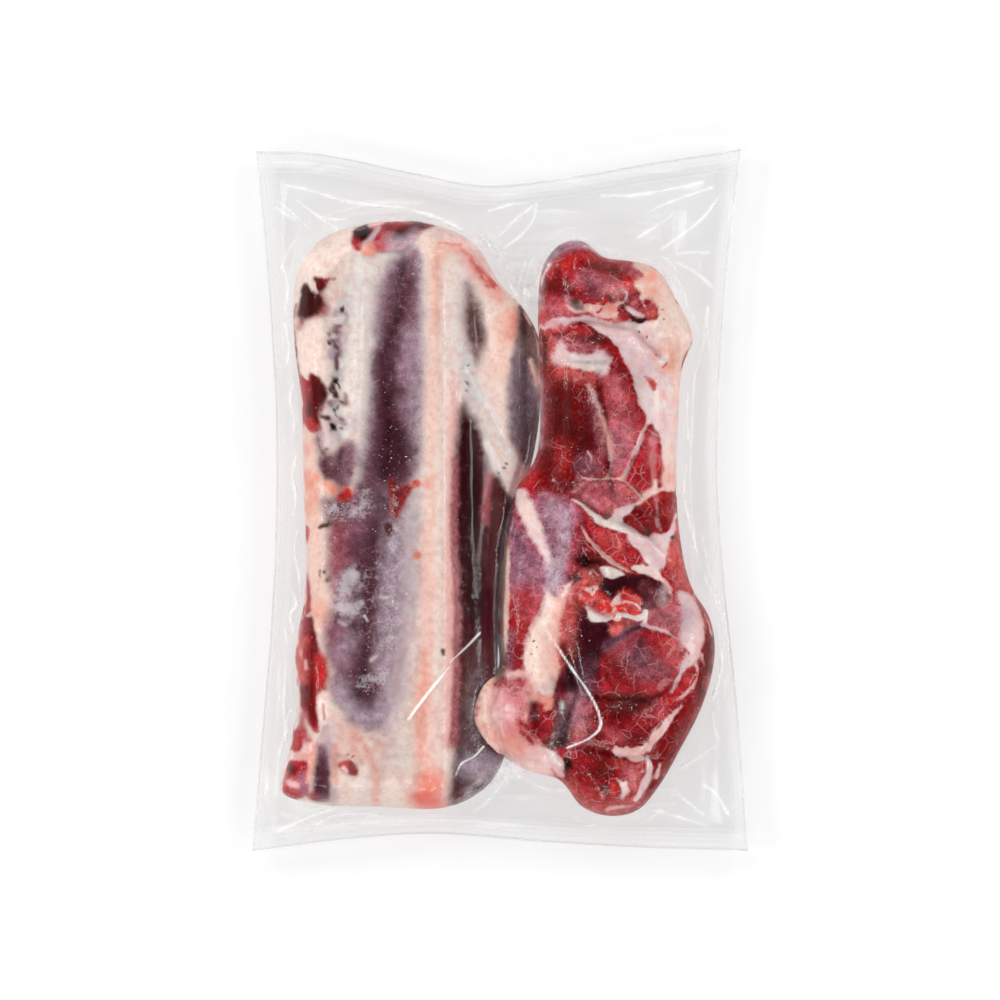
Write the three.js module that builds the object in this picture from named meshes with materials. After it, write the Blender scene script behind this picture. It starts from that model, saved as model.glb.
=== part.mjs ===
// A vacuum-packed raw mutton loin: a slab of rib loin and a boned piece, side by side in a clear sealed pouch.
// The film is drawn tight over both pieces, so the pouch with its contents is one closed solid.
// Millimetres, +Z up. The pack lies on the plane z = 0, centred on the origin, with its long side along Y.
import * as THREE from "three";

// The pouch: a flat bag of 250 x 350, drawn in between its corners by what it holds.
const POUCH_LENGTH = 350;
const POUCH_WIDTH = 247;
const END_SEAL = 14; // width of the heat seal across the two ends
const SIDE_SEAL = 7; // width of the heat seal along the two sides
const SEAL_THICKNESS = 0.8; // of the two films welded together
const SKIRT_THICKNESS = 1.3; // of the two films lying on each other round the meat
const SEAM_HEIGHT = 13; // where the films part, above the table
const RIM_HEIGHT = 4.5; // the free edge of the pouch, above the table
const CORNER_LIFT = 4; // how much higher the stiff corners curl
const DROOP_LENGTH = 22; // how far from the meat the skirt comes down
const FILM_GAP = 0.4; // film and the wet layer under it, outside the meat

// How the film spans hollows: the tightest concave radius that the vacuum bends it to, above and, pressed against
// the table, below.
const SPAN_RADIUS = 6.5;
const UNDER_SPAN_RADIUS = 25;
const SETTLE_STEPS = 160;

// Cells of the surface: the top is twice as fine as the underside.
const CELLS_ACROSS = 56;
const CELLS_ALONG = 80;
const OUTLINE_STEPS = 180;

// The four free edges, each from its first corner to its second. Left and right run upwards, the ends run to +X.
const HALF_WIDTH = POUCH_WIDTH / 2;
const HALF_LENGTH = POUCH_LENGTH / 2;
const BOTTOM_LEFT = [-HALF_WIDTH, -HALF_LENGTH];
const BOTTOM_RIGHT = [HALF_WIDTH, -HALF_LENGTH];
const TOP_LEFT = [-HALF_WIDTH + 2, HALF_LENGTH - 1];
const TOP_RIGHT = [HALF_WIDTH - 3.5, HALF_LENGTH];
const EDGES = {
  left: [BOTTOM_LEFT, [-119, -120], [-113.5, -50], [-111.5, 25], [-115, 100], TOP_LEFT],
  right: [BOTTOM_RIGHT, [119, -110], [111, -30], [108.5, 20], [112, 100], TOP_RIGHT],
  bottom: [BOTTOM_LEFT, [-75, -169], [-33, -166.5], [20, -170.5], [75, -173.5], BOTTOM_RIGHT],
  top: [TOP_LEFT, [-92, 173], [-42, 163], [-8, 157], [30, 160.5], [80, 169], TOP_RIGHT],
};

// A piece of meat: its outline seen from above, its height, how far in its rounded shoulders reach,
// slopes {from, to, drop}, where its top falls away from one x to another,
// and reliefs {path, width, rise}, the bands, lobes and grooves on its top.
const RIB_LOIN = {
  outline: [
    [-100, 116], [-89, 130], [-70, 137], [-50, 139.5], [-30, 136.5], [-12, 127], [0, 108], [12, 95], [20, 78],
    [20, 45], [14, 12], [4, -12], [0, -50], [-1, -95], [2, -128], [-8, -144], [-26, -153], [-60, -153],
    [-95, -151], [-109, -145], [-105, -125], [-101, -100], [-102, -76], [-97, -45], [-98, 10], [-99, 50], [-103, 85],
  ],
  height: 40,
  shoulder: 17,
  seat: 12,
  slopes: [{ from: -27, to: 10, drop: 23, above: -200, below: 200 }],
  reliefs: [
    { path: [[-67, 110], [-69, 60], [-73, 5]], width: 5, rise: 1.8 }, // rib under white fat
    { path: [[-33, 122], [-31, 0], [-31, -148]], width: 6, rise: 2.2 }, // rib along the edge of the slab
    { path: [[-93, 115], [-93, 30], [-92, -60]], width: 6, rise: 1.4 }, // fat along the left side
    { path: [[-82, -98], [-72, -125], [-60, -146]], width: 10, rise: 1.2 }, // fat at the foot
    { path: [[-48, 115], [-54, 50], [-57, 0]], width: 7, rise: -1.8 }, // lean between the ribs
    { path: [[-80, 60], [-72, -20], [-68, -100]], width: 9, rise: -1.6 }, // lean on the left
    { path: [[-15, 110], [-12, 75]], width: 5, rise: -2 }, // hollow at the head of the slope
    { path: [[-15, 40], [-14, -60], [-12, -130]], width: 5, rise: -2.5 }, // hollow along the slope
    { path: [[-14, 60], [4, 30], [16, 0]], width: 6, rise: 2.5 }, // strap of fat down the slope
  ],
};

const BONED_LOIN = {
  outline: [
    [19, 100], [22, 118], [31, 128], [41, 129], [52, 121], [66, 119], [78, 115], [88, 100], [96, 81], [91, 66],
    [89, 40], [88, 8], [90, -20], [95, -42], [105, -60], [107, -78], [101, -102], [90, -124], [79, -143],
    [68, -155], [54, -157.5], [41, -153], [30, -140], [14, -135], [-3, -124], [-13, -108], [-9, -93], [-1, -84],
    [-2, -60], [1, -20], [7, 4], [18, 22], [20, 60],
  ],
  height: 36,
  shoulder: 20,
  seat: 13,
  slopes: [{ from: 36, to: 2, drop: 15, above: -160, below: 14 }],
  reliefs: [
    { path: [[36, 104], [54, 108]], width: 16, rise: 3.5 }, // rounded head
    { path: [[22, 88], [45, 88], [66, 84], [86, 62]], width: 5, rise: -2.8 }, // fat seam below the head
    { path: [[34, 78], [46, 76]], width: 6, rise: 2 }, // small oval muscle
    { path: [[26, 68], [50, 68]], width: 4, rise: -1.6 }, // white fat below it
    { path: [[33, 50], [32, 12]], width: 13, rise: 3 }, // long dark muscle
    { path: [[60, 48], [66, 22]], width: 9, rise: 1.6 }, // its lighter neighbour
    { path: [[48, 62], [53, 30], [55, 4]], width: 3, rise: -1.2 }, // sinew between the two
    { path: [[38, 2], [52, -10], [72, -18], [90, -40]], width: 4.5, rise: -3 }, // sinew across the middle
    { path: [[54, -14], [66, -28]], width: 7, rise: 2.4 }, // leaf-shaped muscle
    { path: [[40, -30], [47, -36]], width: 4.5, rise: -6 }, // dark hollow
    { path: [[42, -42], [52, -52], [70, -56]], width: 5, rise: 3 }, // crumbly cut edge
    { path: [[66, -76], [76, -80]], width: 14, rise: 3 }, // round muscle
    { path: [[48, -98], [74, -100], [94, -84]], width: 4, rise: -1.8 }, // groove under it
    { path: [[58, -112], [82, -106]], width: 10, rise: 2 }, // loin end
    { path: [[36, -122], [56, -126], [74, -128]], width: 4.5, rise: -2.2 }, // groove above the tip
    { path: [[50, -142], [62, -142]], width: 9, rise: 2.5 }, // tip
    { path: [[33, -72], [38, -96], [32, -118]], width: 4, rise: -4 }, // crease beside the flap
    { path: [[-2, -106], [8, -108]], width: 13, rise: 7 }, // round end of the flap
    { path: [[8, -20], [6, -70]], width: 6, rise: 3 }, // rolled edge of the flap
  ],
};
const PIECES = [RIB_LOIN, BONED_LOIN];

// Folds of the slack film, from each corner towards the meat and at the notch between the pieces.
const FOLD_WIDTH = 3.2;
const FOLD_RISE = 1.6;
const FOLDS = [
  [[-113, 160], [-84, 146], [-50, 143]],
  [[-112, 158], [-98, 142], [-86, 134]],
  [[112, 162], [84, 148], [62, 136]],
  [[111, 158], [98, 140], [88, 122]],
  [[4, 152], [4, 138], [3, 116]],
  [[20, 150], [16, 140], [8, 122]],
  [[-112, -160], [-96, -158], [-84, -154]],
  [[112, -162], [96, -146], [84, -138]],
  [[112, -150], [104, -128], [100, -116]],
  [[20, -160], [16, -148], [12, -138]],
];

const clamp01 = (t) => Math.min(1, Math.max(0, t));
const smooth = (t) => clamp01(t) ** 2 * (3 - 2 * clamp01(t));
const mix = (a, b, t) => a + (b - a) * t;

// Distance from a point to a chain of straight lines.
function distanceToPath(x, y, path) {
  let least = Infinity;
  for (let k = 1; k < path.length; k++) {
    const [ax, ay] = path[k - 1];
    const [bx, by] = path[k];
    const along = ((x - ax) * (bx - ax) + (y - ay) * (by - ay)) / ((bx - ax) ** 2 + (by - ay) ** 2);
    const t = clamp01(along);
    least = Math.min(least, Math.hypot(x - mix(ax, bx, t), y - mix(ay, by, t)));
  }
  return least;
}

// A piece's smooth closed outline as a chain of short lines.
function smoothOutline(points) {
  const curve = new THREE.CatmullRomCurve3(points.map(([x, y]) => new THREE.Vector3(x, y, 0)), true, "centripetal");
  return curve.getSpacedPoints(OUTLINE_STEPS).map((p) => [p.x, p.y]);
}

function isInside(x, y, ring) {
  let inside = false;
  for (let k = 1; k < ring.length; k++) {
    const [ax, ay] = ring[k - 1];
    const [bx, by] = ring[k];
    if (ay > y !== by > y && x < ax + ((y - ay) / (by - ay)) * (bx - ax)) inside = !inside;
  }
  return inside;
}

// How far a point lies inside an outline, or, where it lies outside, the distance as a negative number.
function depthInside(x, y, ring) {
  const distance = distanceToPath(x, y, ring);
  return isInside(x, y, ring) ? distance : -distance;
}

// The quarter round that turns a flat top into an upright side.
const quarterRound = (t) => Math.sqrt(1 - (1 - clamp01(t)) ** 2);

function reliefAt(x, y, reliefs) {
  return reliefs.reduce(
    (sum, { path, width, rise }) => sum + rise * Math.exp(-((distanceToPath(x, y, path) / width) ** 2)),
    0,
  );
}

const SLOPE_FADE = 14; // over how much of Y a slope sets in
function slopeAt(x, y, slopes) {
  return slopes.reduce((sum, { from, to, drop, above, below }) => {
    const there = smooth((y - above) / SLOPE_FADE) * smooth((below - y) / SLOPE_FADE);
    return sum + drop * there * clamp01((x - from) / (to - from));
  }, 0);
}

// Height of a piece's top and of its underside at a point that lies depth inside its outline.
function topOf(piece, x, y, depth) {
  const crown = piece.height - SEAM_HEIGHT - slopeAt(x, y, piece.slopes) + reliefAt(x, y, piece.reliefs);
  return SEAM_HEIGHT + FILM_GAP + crown * quarterRound(depth / piece.shoulder);
}

function undersideOf(piece, depth) {
  return SEAM_HEIGHT * (1 - quarterRound(depth / piece.seat));
}

// The pouch's outline as a patch between its four edges: u runs across from the left, v runs up from the bottom.
function pouchPatch() {
  const curve = (points) => new THREE.SplineCurve(points.map(([x, y]) => new THREE.Vector2(x, y)));
  const [left, right, bottom, top] = ["left", "right", "bottom", "top"].map((name) => curve(EDGES[name]));
  return (u, v) => {
    const [l, r, b, t] = [left.getPointAt(v), right.getPointAt(v), bottom.getPointAt(u), top.getPointAt(u)];
    const corner = (axis) =>
      mix(mix(BOTTOM_LEFT[axis], BOTTOM_RIGHT[axis], u), mix(TOP_LEFT[axis], TOP_RIGHT[axis], u), v);
    return [
      mix(l.x, r.x, u) + mix(b.x, t.x, v) - corner(0),
      mix(l.y, r.y, u) + mix(b.y, t.y, v) - corner(1),
    ];
  };
}

// What the films meet at one point of the patch: the lowest that the top film may lie, the highest that the bottom
// film may lie, both held by the meat and by each other.
function limitsAt(x, y, u, v, rings) {
  const depths = rings.map((ring) => depthInside(x, y, ring));
  const away = Math.max(0, -Math.max(...depths));
  const curl = CORNER_LIFT * Math.abs(2 * u - 1) ** 4 * Math.abs(2 * v - 1) ** 4;
  const middle = mix(RIM_HEIGHT + curl, SEAM_HEIGHT, Math.exp(-away / DROOP_LENGTH));
  const fromEnd = Math.min(v, 1 - v) * POUCH_LENGTH;
  const fromSide = Math.min(u, 1 - u) * POUCH_WIDTH;
  const loose = smooth((fromEnd - END_SEAL) / SIDE_SEAL) * smooth((fromSide - SIDE_SEAL) / SIDE_SEAL);
  const half = mix(SEAL_THICKNESS, SKIRT_THICKNESS, loose) / 2;
  const fold = loose * FOLD_RISE * Math.max(...FOLDS.map((f) => Math.exp(-((distanceToPath(x, y, f) / FOLD_WIDTH) ** 2))));
  let floor = middle + half + fold;
  let ceiling = middle - half;
  PIECES.forEach((piece, k) => {
    if (depths[k] <= 0) return;
    floor = Math.max(floor, topOf(piece, x, y, depths[k]));
    ceiling = Math.min(ceiling, undersideOf(piece, depths[k]));
  });
  return { x, y, floor, ceiling };
}

// Lets a film settle on what holds it: it spans each hollow, and the vacuum bends it no tighter than the radius.
function settle(grid, start, radius) {
  const cell = POUCH_LENGTH / CELLS_ALONG;
  const pull = cell ** 2 / (4 * radius);
  let heights = grid.map((row) => row.map(start));
  for (let step = 0; step < SETTLE_STEPS; step++) {
    heights = heights.map((row, j) =>
      row.map((height, i) => {
        if (i === 0 || j === 0 || i === CELLS_ACROSS || j === CELLS_ALONG) return start(grid[j][i]);
        const around = (row[i - 1] + row[i + 1] + heights[j - 1][i] + heights[j + 1][i]) / 4;
        return Math.max(start(grid[j][i]), around - pull);
      }),
    );
  }
  return heights;
}

// The closed surface: the fine top, the underside with every other line of it, and a rim between the two.
function packGeometry() {
  const patch = pouchPatch();
  const rings = PIECES.map((piece) => smoothOutline(piece.outline));
  const grid = [];
  for (let j = 0; j <= CELLS_ALONG; j++) {
    grid.push([]);
    for (let i = 0; i <= CELLS_ACROSS; i++) {
      const [u, v] = [i / CELLS_ACROSS, j / CELLS_ALONG];
      grid[j].push(limitsAt(...patch(u, v), u, v, rings));
    }
  }
  const topHeights = settle(grid, (point) => point.floor, SPAN_RADIUS);
  const undersideHeights = settle(grid, (point) => -point.ceiling, UNDER_SPAN_RADIUS);

  const positions = [];
  const number = (heights, sign, stride) => {
    const numbers = new Map();
    for (let j = 0; j <= CELLS_ALONG; j += stride)
      for (let i = 0; i <= CELLS_ACROSS; i += stride) {
        numbers.set(`${i},${j}`, positions.length / 3);
        positions.push(grid[j][i].x, grid[j][i].y, sign * heights[j][i]);
      }
    return (i, j) => numbers.get(`${i},${j}`);
  };
  const top = number(topHeights, 1, 1);
  const underside = number(undersideHeights, -1, 2);

  const faces = [];
  for (let j = 0; j < CELLS_ALONG; j++)
    for (let i = 0; i < CELLS_ACROSS; i++) {
      faces.push(top(i, j), top(i + 1, j), top(i + 1, j + 1));
      faces.push(top(i, j), top(i + 1, j + 1), top(i, j + 1));
    }
  for (let j = 0; j < CELLS_ALONG; j += 2)
    for (let i = 0; i < CELLS_ACROSS; i += 2) {
      faces.push(underside(i, j), underside(i + 2, j + 2), underside(i + 2, j));
      faces.push(underside(i, j), underside(i, j + 2), underside(i + 2, j + 2));
    }
  // The rim runs once round the pouch, seen from above against the clock.
  const rimStep = (a, b, c) => {
    faces.push(underside(...a), top(...b), top(...a));
    faces.push(underside(...a), underside(...c), top(...b));
    faces.push(underside(...c), top(...c), top(...b));
  };
  for (let i = 0; i < CELLS_ACROSS; i += 2) {
    rimStep([i, 0], [i + 1, 0], [i + 2, 0]);
    rimStep([CELLS_ACROSS - i, CELLS_ALONG], [CELLS_ACROSS - i - 1, CELLS_ALONG], [CELLS_ACROSS - i - 2, CELLS_ALONG]);
  }
  for (let j = 0; j < CELLS_ALONG; j += 2) {
    rimStep([CELLS_ACROSS, j], [CELLS_ACROSS, j + 1], [CELLS_ACROSS, j + 2]);
    rimStep([0, CELLS_ALONG - j], [0, CELLS_ALONG - j - 1], [0, CELLS_ALONG - j - 2]);
  }

  const geometry = new THREE.BufferGeometry();
  geometry.setAttribute("position", new THREE.Float32BufferAttribute(positions, 3));
  geometry.setIndex(faces);
  geometry.computeVertexNormals();
  return geometry;
}

const rawMeat = new THREE.MeshStandardMaterial({ color: 0x9c4a48, roughness: 0.3, metalness: 0 });
const pack = new THREE.Mesh(packGeometry(), rawMeat);
pack.name = "sealed_pack";

const group = new THREE.Group();
group.add(pack);
export default group;
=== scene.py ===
"""A vacuum-packed raw mutton loin: clear film and the two pieces of meat in it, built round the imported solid.

Lengths are in millimetres in the part's frame until a mesh is made, which turns them into metres.
"""

import math
import random

import bpy
import numpy as np
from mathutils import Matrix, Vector


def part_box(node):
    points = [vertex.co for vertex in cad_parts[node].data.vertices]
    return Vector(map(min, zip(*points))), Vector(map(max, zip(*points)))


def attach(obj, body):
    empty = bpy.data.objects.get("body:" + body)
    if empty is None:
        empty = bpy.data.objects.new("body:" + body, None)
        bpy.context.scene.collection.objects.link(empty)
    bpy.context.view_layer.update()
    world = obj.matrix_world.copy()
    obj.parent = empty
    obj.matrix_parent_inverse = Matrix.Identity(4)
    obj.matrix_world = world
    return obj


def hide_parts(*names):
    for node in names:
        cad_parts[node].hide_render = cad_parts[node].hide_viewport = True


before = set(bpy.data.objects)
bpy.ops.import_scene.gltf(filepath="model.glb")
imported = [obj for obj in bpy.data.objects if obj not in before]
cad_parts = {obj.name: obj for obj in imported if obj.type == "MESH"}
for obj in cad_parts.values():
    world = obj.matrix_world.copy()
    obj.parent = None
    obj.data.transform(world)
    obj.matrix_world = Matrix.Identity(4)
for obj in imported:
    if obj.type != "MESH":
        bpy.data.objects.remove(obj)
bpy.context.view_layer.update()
PACK = "sealed_pack"
MM = 0.001

# The pouch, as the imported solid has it.
cad_low, cad_high = (np.array(corner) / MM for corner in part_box(PACK))
POUCH_WIDTH, POUCH_LENGTH = (cad_high - cad_low)[:2]
HALF_WIDTH, HALF_LENGTH = POUCH_WIDTH / 2, POUCH_LENGTH / 2
END_SEAL = 14
SIDE_SEAL = 7
SEAL_THICKNESS = 0.4
SKIRT_THICKNESS = 0.8
SEAM_HEIGHT = 13
RIM_HEIGHT = 4.5
CORNER_LIFT = 4
DROOP_LENGTH = 22
FILM_GAP = 0.35
FILM_CLEARANCE = 0.8
SPAN_RADIUS = 6.5
UNDER_SPAN_RADIUS = 25
SETTLE_STEPS = 500
FILM_CELLS = (224, 320)

BOTTOM_LEFT = (-HALF_WIDTH, -HALF_LENGTH)
BOTTOM_RIGHT = (HALF_WIDTH, -HALF_LENGTH)
TOP_LEFT = (-HALF_WIDTH + 2, HALF_LENGTH - 1)
TOP_RIGHT = (HALF_WIDTH - 3.5, HALF_LENGTH)
EDGES = {
    "left": [BOTTOM_LEFT, (-119, -120), (-113.5, -50), (-111.5, 25), (-115, 100), TOP_LEFT],
    "right": [BOTTOM_RIGHT, (119, -110), (111, -30), (108.5, 20), (112, 100), TOP_RIGHT],
    "bottom": [BOTTOM_LEFT, (-75, -169), (-33, -166.5), (20, -170.5), (75, -173.5), BOTTOM_RIGHT],
    "top": [TOP_LEFT, (-92, 173), (-42, 163), (-8, 157), (30, 160.5), (80, 169), TOP_RIGHT],
}


def smooth(t):
    t = np.clip(t, 0, 1)
    return t * t * (3 - 2 * t)


def mix(a, b, t):
    return a + (b - a) * t


def distance_to_path(x, y, path):
    """Distance from each point to a chain of straight lines."""
    least = np.full(np.shape(x), np.inf)
    for (ax, ay), (bx, by) in zip(path, path[1:]):
        along = ((x - ax) * (bx - ax) + (y - ay) * (by - ay)) / ((bx - ax) ** 2 + (by - ay) ** 2)
        t = np.clip(along, 0, 1)
        least = np.minimum(least, np.hypot(x - mix(ax, bx, t), y - mix(ay, by, t)))
    return least


def depth_in_band(x, y, band):
    """How deep each point lies in a band given as (x, y, half width) along its middle, or in one disc."""
    if len(band) == 1:
        return band[0][2] - np.hypot(x - band[0][0], y - band[0][1])
    if len(band) > 2:
        band = spline(band, 3 * len(band))
    deepest = np.full(np.shape(x), -np.inf)
    for (ax, ay, ar), (bx, by, br) in zip(band, band[1:]):
        along = ((x - ax) * (bx - ax) + (y - ay) * (by - ay)) / ((bx - ax) ** 2 + (by - ay) ** 2)
        t = np.clip(along, 0, 1)
        away = np.hypot(x - mix(ax, bx, t), y - mix(ay, by, t))
        deepest = np.maximum(deepest, mix(ar, br, t) - away)
    return deepest


def spline(points, count, closed=False):
    """A centripetal Catmull-Rom curve through the points, as count + 1 points evenly spaced along it."""
    p = np.array(points, float)
    if closed:
        p = np.vstack([p[-1], p, p[0], p[1]])
    else:
        p = np.vstack([2 * p[0] - p[1], p, 2 * p[-1] - p[-2]])
    made = []
    for a, b, c, d in zip(p, p[1:], p[2:], p[3:]):
        steps = [max(np.linalg.norm(q - r), 1e-6) ** 0.5 for q, r in ((b, a), (c, b), (d, c))]
        k0, k1, k2, k3 = np.cumsum([0, *steps])
        t = np.linspace(k1, k2, 24, endpoint=False)[:, None]

        def between(u, v, start, end):
            return ((end - t) * u + (t - start) * v) / (end - start)

        ab, bc, cd = between(a, b, k0, k1), between(b, c, k1, k2), between(c, d, k2, k3)
        made.append(between(between(ab, bc, k0, k2), between(bc, cd, k1, k3), k1, k2))
    line = np.vstack([*made, p[-2:-1]])
    run = np.concatenate([[0], np.cumsum(np.linalg.norm(np.diff(line, axis=0), axis=1))])
    at = np.linspace(0, run[-1], count + 1)
    return np.column_stack([np.interp(at, run, column) for column in line.T])


def depth_in_ring(x, y, ring):
    """How deep each point lies inside a closed line, negative outside."""
    inside = np.zeros(np.shape(x), bool)
    for (ax, ay), (bx, by) in zip(ring, ring[1:]):
        if ay != by:
            inside ^= ((ay > y) != (by > y)) & (x < ax + (y - ay) / (by - ay) * (bx - ax))
    distance = distance_to_path(x, y, ring)
    return np.where(inside, distance, -distance)


def lattice(ix, iy, iz, seed):
    """A random number from -1 to 1 for each whole point, the same on every run."""
    h = (ix * 73856093) ^ (iy * 19349663) ^ (iz * 83492791) ^ (seed * 97531)
    h = (h ^ (h >> 13)) * 1274126177 & 0x7FFFFFFF
    h = (h ^ (h >> 15)) * 668265263 & 0x7FFFFFFF
    return (h & 0xFFFF) / 32767.5 - 1


def noise(x, y, z, size, seed):
    """Smooth noise from -1 to 1 whose bumps are about size apart."""
    p = [np.asarray(c, float) / size for c in (x, y, z)]
    whole = [np.floor(c).astype(np.int64) for c in p]
    part = [smooth(c - w) for c, w in zip(p, whole)]
    total = 0
    for dx in (0, 1):
        for dy in (0, 1):
            for dz in (0, 1):
                weight = 1
                for d, f in zip((dx, dy, dz), part):
                    weight = weight * (f if d else 1 - f)
                total = total + weight * lattice(whole[0] + dx, whole[1] + dy, whole[2] + dz, seed)
    return total


def rough(x, y, z, size, seed, octaves=3):
    """Noise with finer noise on it."""
    total = sum(noise(x, y, z, size / 2**k, seed + 17 * k) / 2**k for k in range(octaves))
    return total / (2 - 0.5 ** (octaves - 1))


# The two pieces of meat: the same outlines, heights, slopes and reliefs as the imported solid.
# Each mesh is made of rings that shrink from the outline to the spine, from its head to its foot.
RIB_LOIN = {
    "outline": [
        (-100, 116), (-89, 130), (-70, 137), (-50, 139.5), (-30, 136.5), (-12, 127), (0, 108), (12, 95), (20, 78),
        (20, 45), (14, 12), (4, -12), (0, -50), (-1, -95), (2, -128), (-8, -144), (-26, -153), (-60, -153),
        (-95, -151), (-109, -145), (-105, -125), (-101, -100), (-102, -76), (-97, -45), (-98, 10), (-99, 50),
        (-103, 85),
    ],
    "head": (-50, 139.5),
    "foot": (-60, -153),
    "spine": [(-46, 98), (-42, 0), (-50, -118)],
    "height": 40,
    "shoulder": 17,
    "seat": 12,
    "slopes": [{"from": -27, "to": 10, "drop": 23, "above": -200, "below": 200}],
    "reliefs": [
        {"path": [(-67, 110), (-69, 60), (-73, 5)], "width": 5, "rise": 1.8},
        {"path": [(-33, 122), (-31, 0), (-31, -148)], "width": 6, "rise": 2.2},
        {"path": [(-93, 115), (-93, 30), (-92, -60)], "width": 6, "rise": 1.4},
        {"path": [(-82, -98), (-72, -125), (-60, -146)], "width": 10, "rise": 1.2},
        {"path": [(-48, 115), (-54, 50), (-57, 0)], "width": 7, "rise": -1.8},
        {"path": [(-80, 60), (-72, -20), (-68, -100)], "width": 9, "rise": -1.6},
        {"path": [(-15, 110), (-12, 75)], "width": 5, "rise": -2},
        {"path": [(-15, 40), (-14, -60), (-12, -130)], "width": 5, "rise": -2.5},
        {"path": [(-14, 60), (4, 30), (16, 0)], "width": 6, "rise": 2.5},
    ],
}
BONED_LOIN = {
    "outline": [
        (19, 100), (22, 118), (31, 128), (41, 129), (52, 121), (66, 119), (78, 115), (88, 100), (96, 81), (91, 66),
        (89, 40), (88, 8), (90, -20), (95, -42), (105, -60), (107, -78), (101, -102), (90, -124), (79, -143),
        (68, -155), (54, -157.5), (41, -153), (30, -140), (14, -135), (-3, -124), (-13, -108), (-9, -93), (-1, -84),
        (-2, -60), (1, -20), (7, 4), (18, 22), (20, 60),
    ],
    "head": (41, 129),
    "foot": (54, -157.5),
    "spine": [(46, 98), (52, 40), (48, -20), (50, -75), (56, -128)],
    "height": 36,
    "shoulder": 20,
    "seat": 13,
    "slopes": [{"from": 36, "to": 2, "drop": 15, "above": -160, "below": 14}],
    "reliefs": [
        {"path": [(36, 104), (54, 108)], "width": 16, "rise": 3.5},
        {"path": [(22, 88), (45, 88), (66, 84), (86, 62)], "width": 5, "rise": -2.8},
        {"path": [(34, 78), (46, 76)], "width": 6, "rise": 2},
        {"path": [(26, 68), (50, 68)], "width": 4, "rise": -1.6},
        {"path": [(33, 50), (32, 12)], "width": 13, "rise": 3},
        {"path": [(60, 48), (66, 22)], "width": 9, "rise": 1.6},
        {"path": [(48, 62), (53, 30), (55, 4)], "width": 3, "rise": -1.2},
        {"path": [(38, 2), (52, -10), (72, -18), (90, -40)], "width": 4.5, "rise": -3},
        {"path": [(54, -14), (66, -28)], "width": 7, "rise": 2.4},
        {"path": [(40, -30), (47, -36)], "width": 4.5, "rise": -6},
        {"path": [(42, -42), (52, -52), (70, -56)], "width": 5, "rise": 3},
        {"path": [(66, -76), (76, -80)], "width": 14, "rise": 3},
        {"path": [(48, -98), (74, -100), (94, -84)], "width": 4, "rise": -1.8},
        {"path": [(58, -112), (82, -106)], "width": 10, "rise": 2},
        {"path": [(36, -122), (56, -126), (74, -128)], "width": 4.5, "rise": -2.2},
        {"path": [(50, -142), (62, -142)], "width": 9, "rise": 2.5},
        {"path": [(33, -72), (38, -96), (32, -118)], "width": 4, "rise": -4},
        {"path": [(-2, -106), (8, -108)], "width": 13, "rise": 7},
        {"path": [(8, -20), (6, -70)], "width": 6, "rise": 3},
    ],
}
PIECES = {"rib_loin": RIB_LOIN, "boned_loin": BONED_LOIN}
SLOPE_FADE = 14
OUTLINE_STEPS = 240
for piece in PIECES.values():
    piece["ring"] = spline(piece["outline"], OUTLINE_STEPS, closed=True)

# What the meat's surface is made of, from the general to the particular. Each row is one stroke: what it lays,
# its colour, how soft its edge is, and its shape, a closed outline of (x, y) or a band of (x, y, half width).
# A fifth value is its strength. "fat" and "lean" change the tissue, "tint" colours both, "frost" speckles.
COLOURS = {
    "cream": (246, 228, 219),
    "bone": (236, 228, 223),
    "pearl": (222, 216, 216),
    "peach": (244, 213, 200),
    "salmon": (240, 160, 138),
    "coral": (238, 108, 92),
    "rosy": (240, 196, 190),
    "pink": (224, 146, 154),
    "fascia": (236, 210, 212),
    "lilac": (196, 174, 186),
    "heather": (168, 110, 130),
    "plum": (124, 86, 100),
    "mauve": (142, 104, 114),
    "grape": (92, 62, 76),
    "maroon": (74, 30, 38),
    # The next is a dark maroon laid as painted shade on slopes and in grooves.
    "dusk": (50, 22, 26),
    "umber": (92, 58, 56),
    "taupe": (140, 112, 110),
    "slate": (132, 114, 124),
    "ink": (40, 16, 18),
    "blood": (70, 2, 8),
    "deep": (98, 4, 12),
    "garnet": (136, 24, 33),
    "crimson": (178, 44, 52),
    "scarlet": (194, 50, 47),
    "rouge": (204, 92, 88),
    "rust": (150, 46, 40),
    "rose": (196, 104, 112),
}


def crumbs(kind, colours, band, count, size, soft, seed):
    """Rows for small uneven spots strewn along a band of (x, y, half width)."""
    draw = random.Random(seed)
    rows = []
    for _ in range(count):
        along = draw.uniform(0, len(band) - 1.001)
        k = int(along)
        x, y, half = mix(np.array(band[k], float), np.array(band[k + 1], float), along - k)
        x += half * draw.uniform(-1, 1)
        y += half * draw.uniform(-1, 1)
        radius = size * draw.uniform(0.4, 1)
        turn = draw.uniform(0, math.pi)
        tail = (x + 2 * radius * math.cos(turn), y + 2 * radius * math.sin(turn), 0.5 * radius)
        rows.append((kind, draw.choice(colours), soft, [(x, y, radius), tail]))
    return rows


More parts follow.
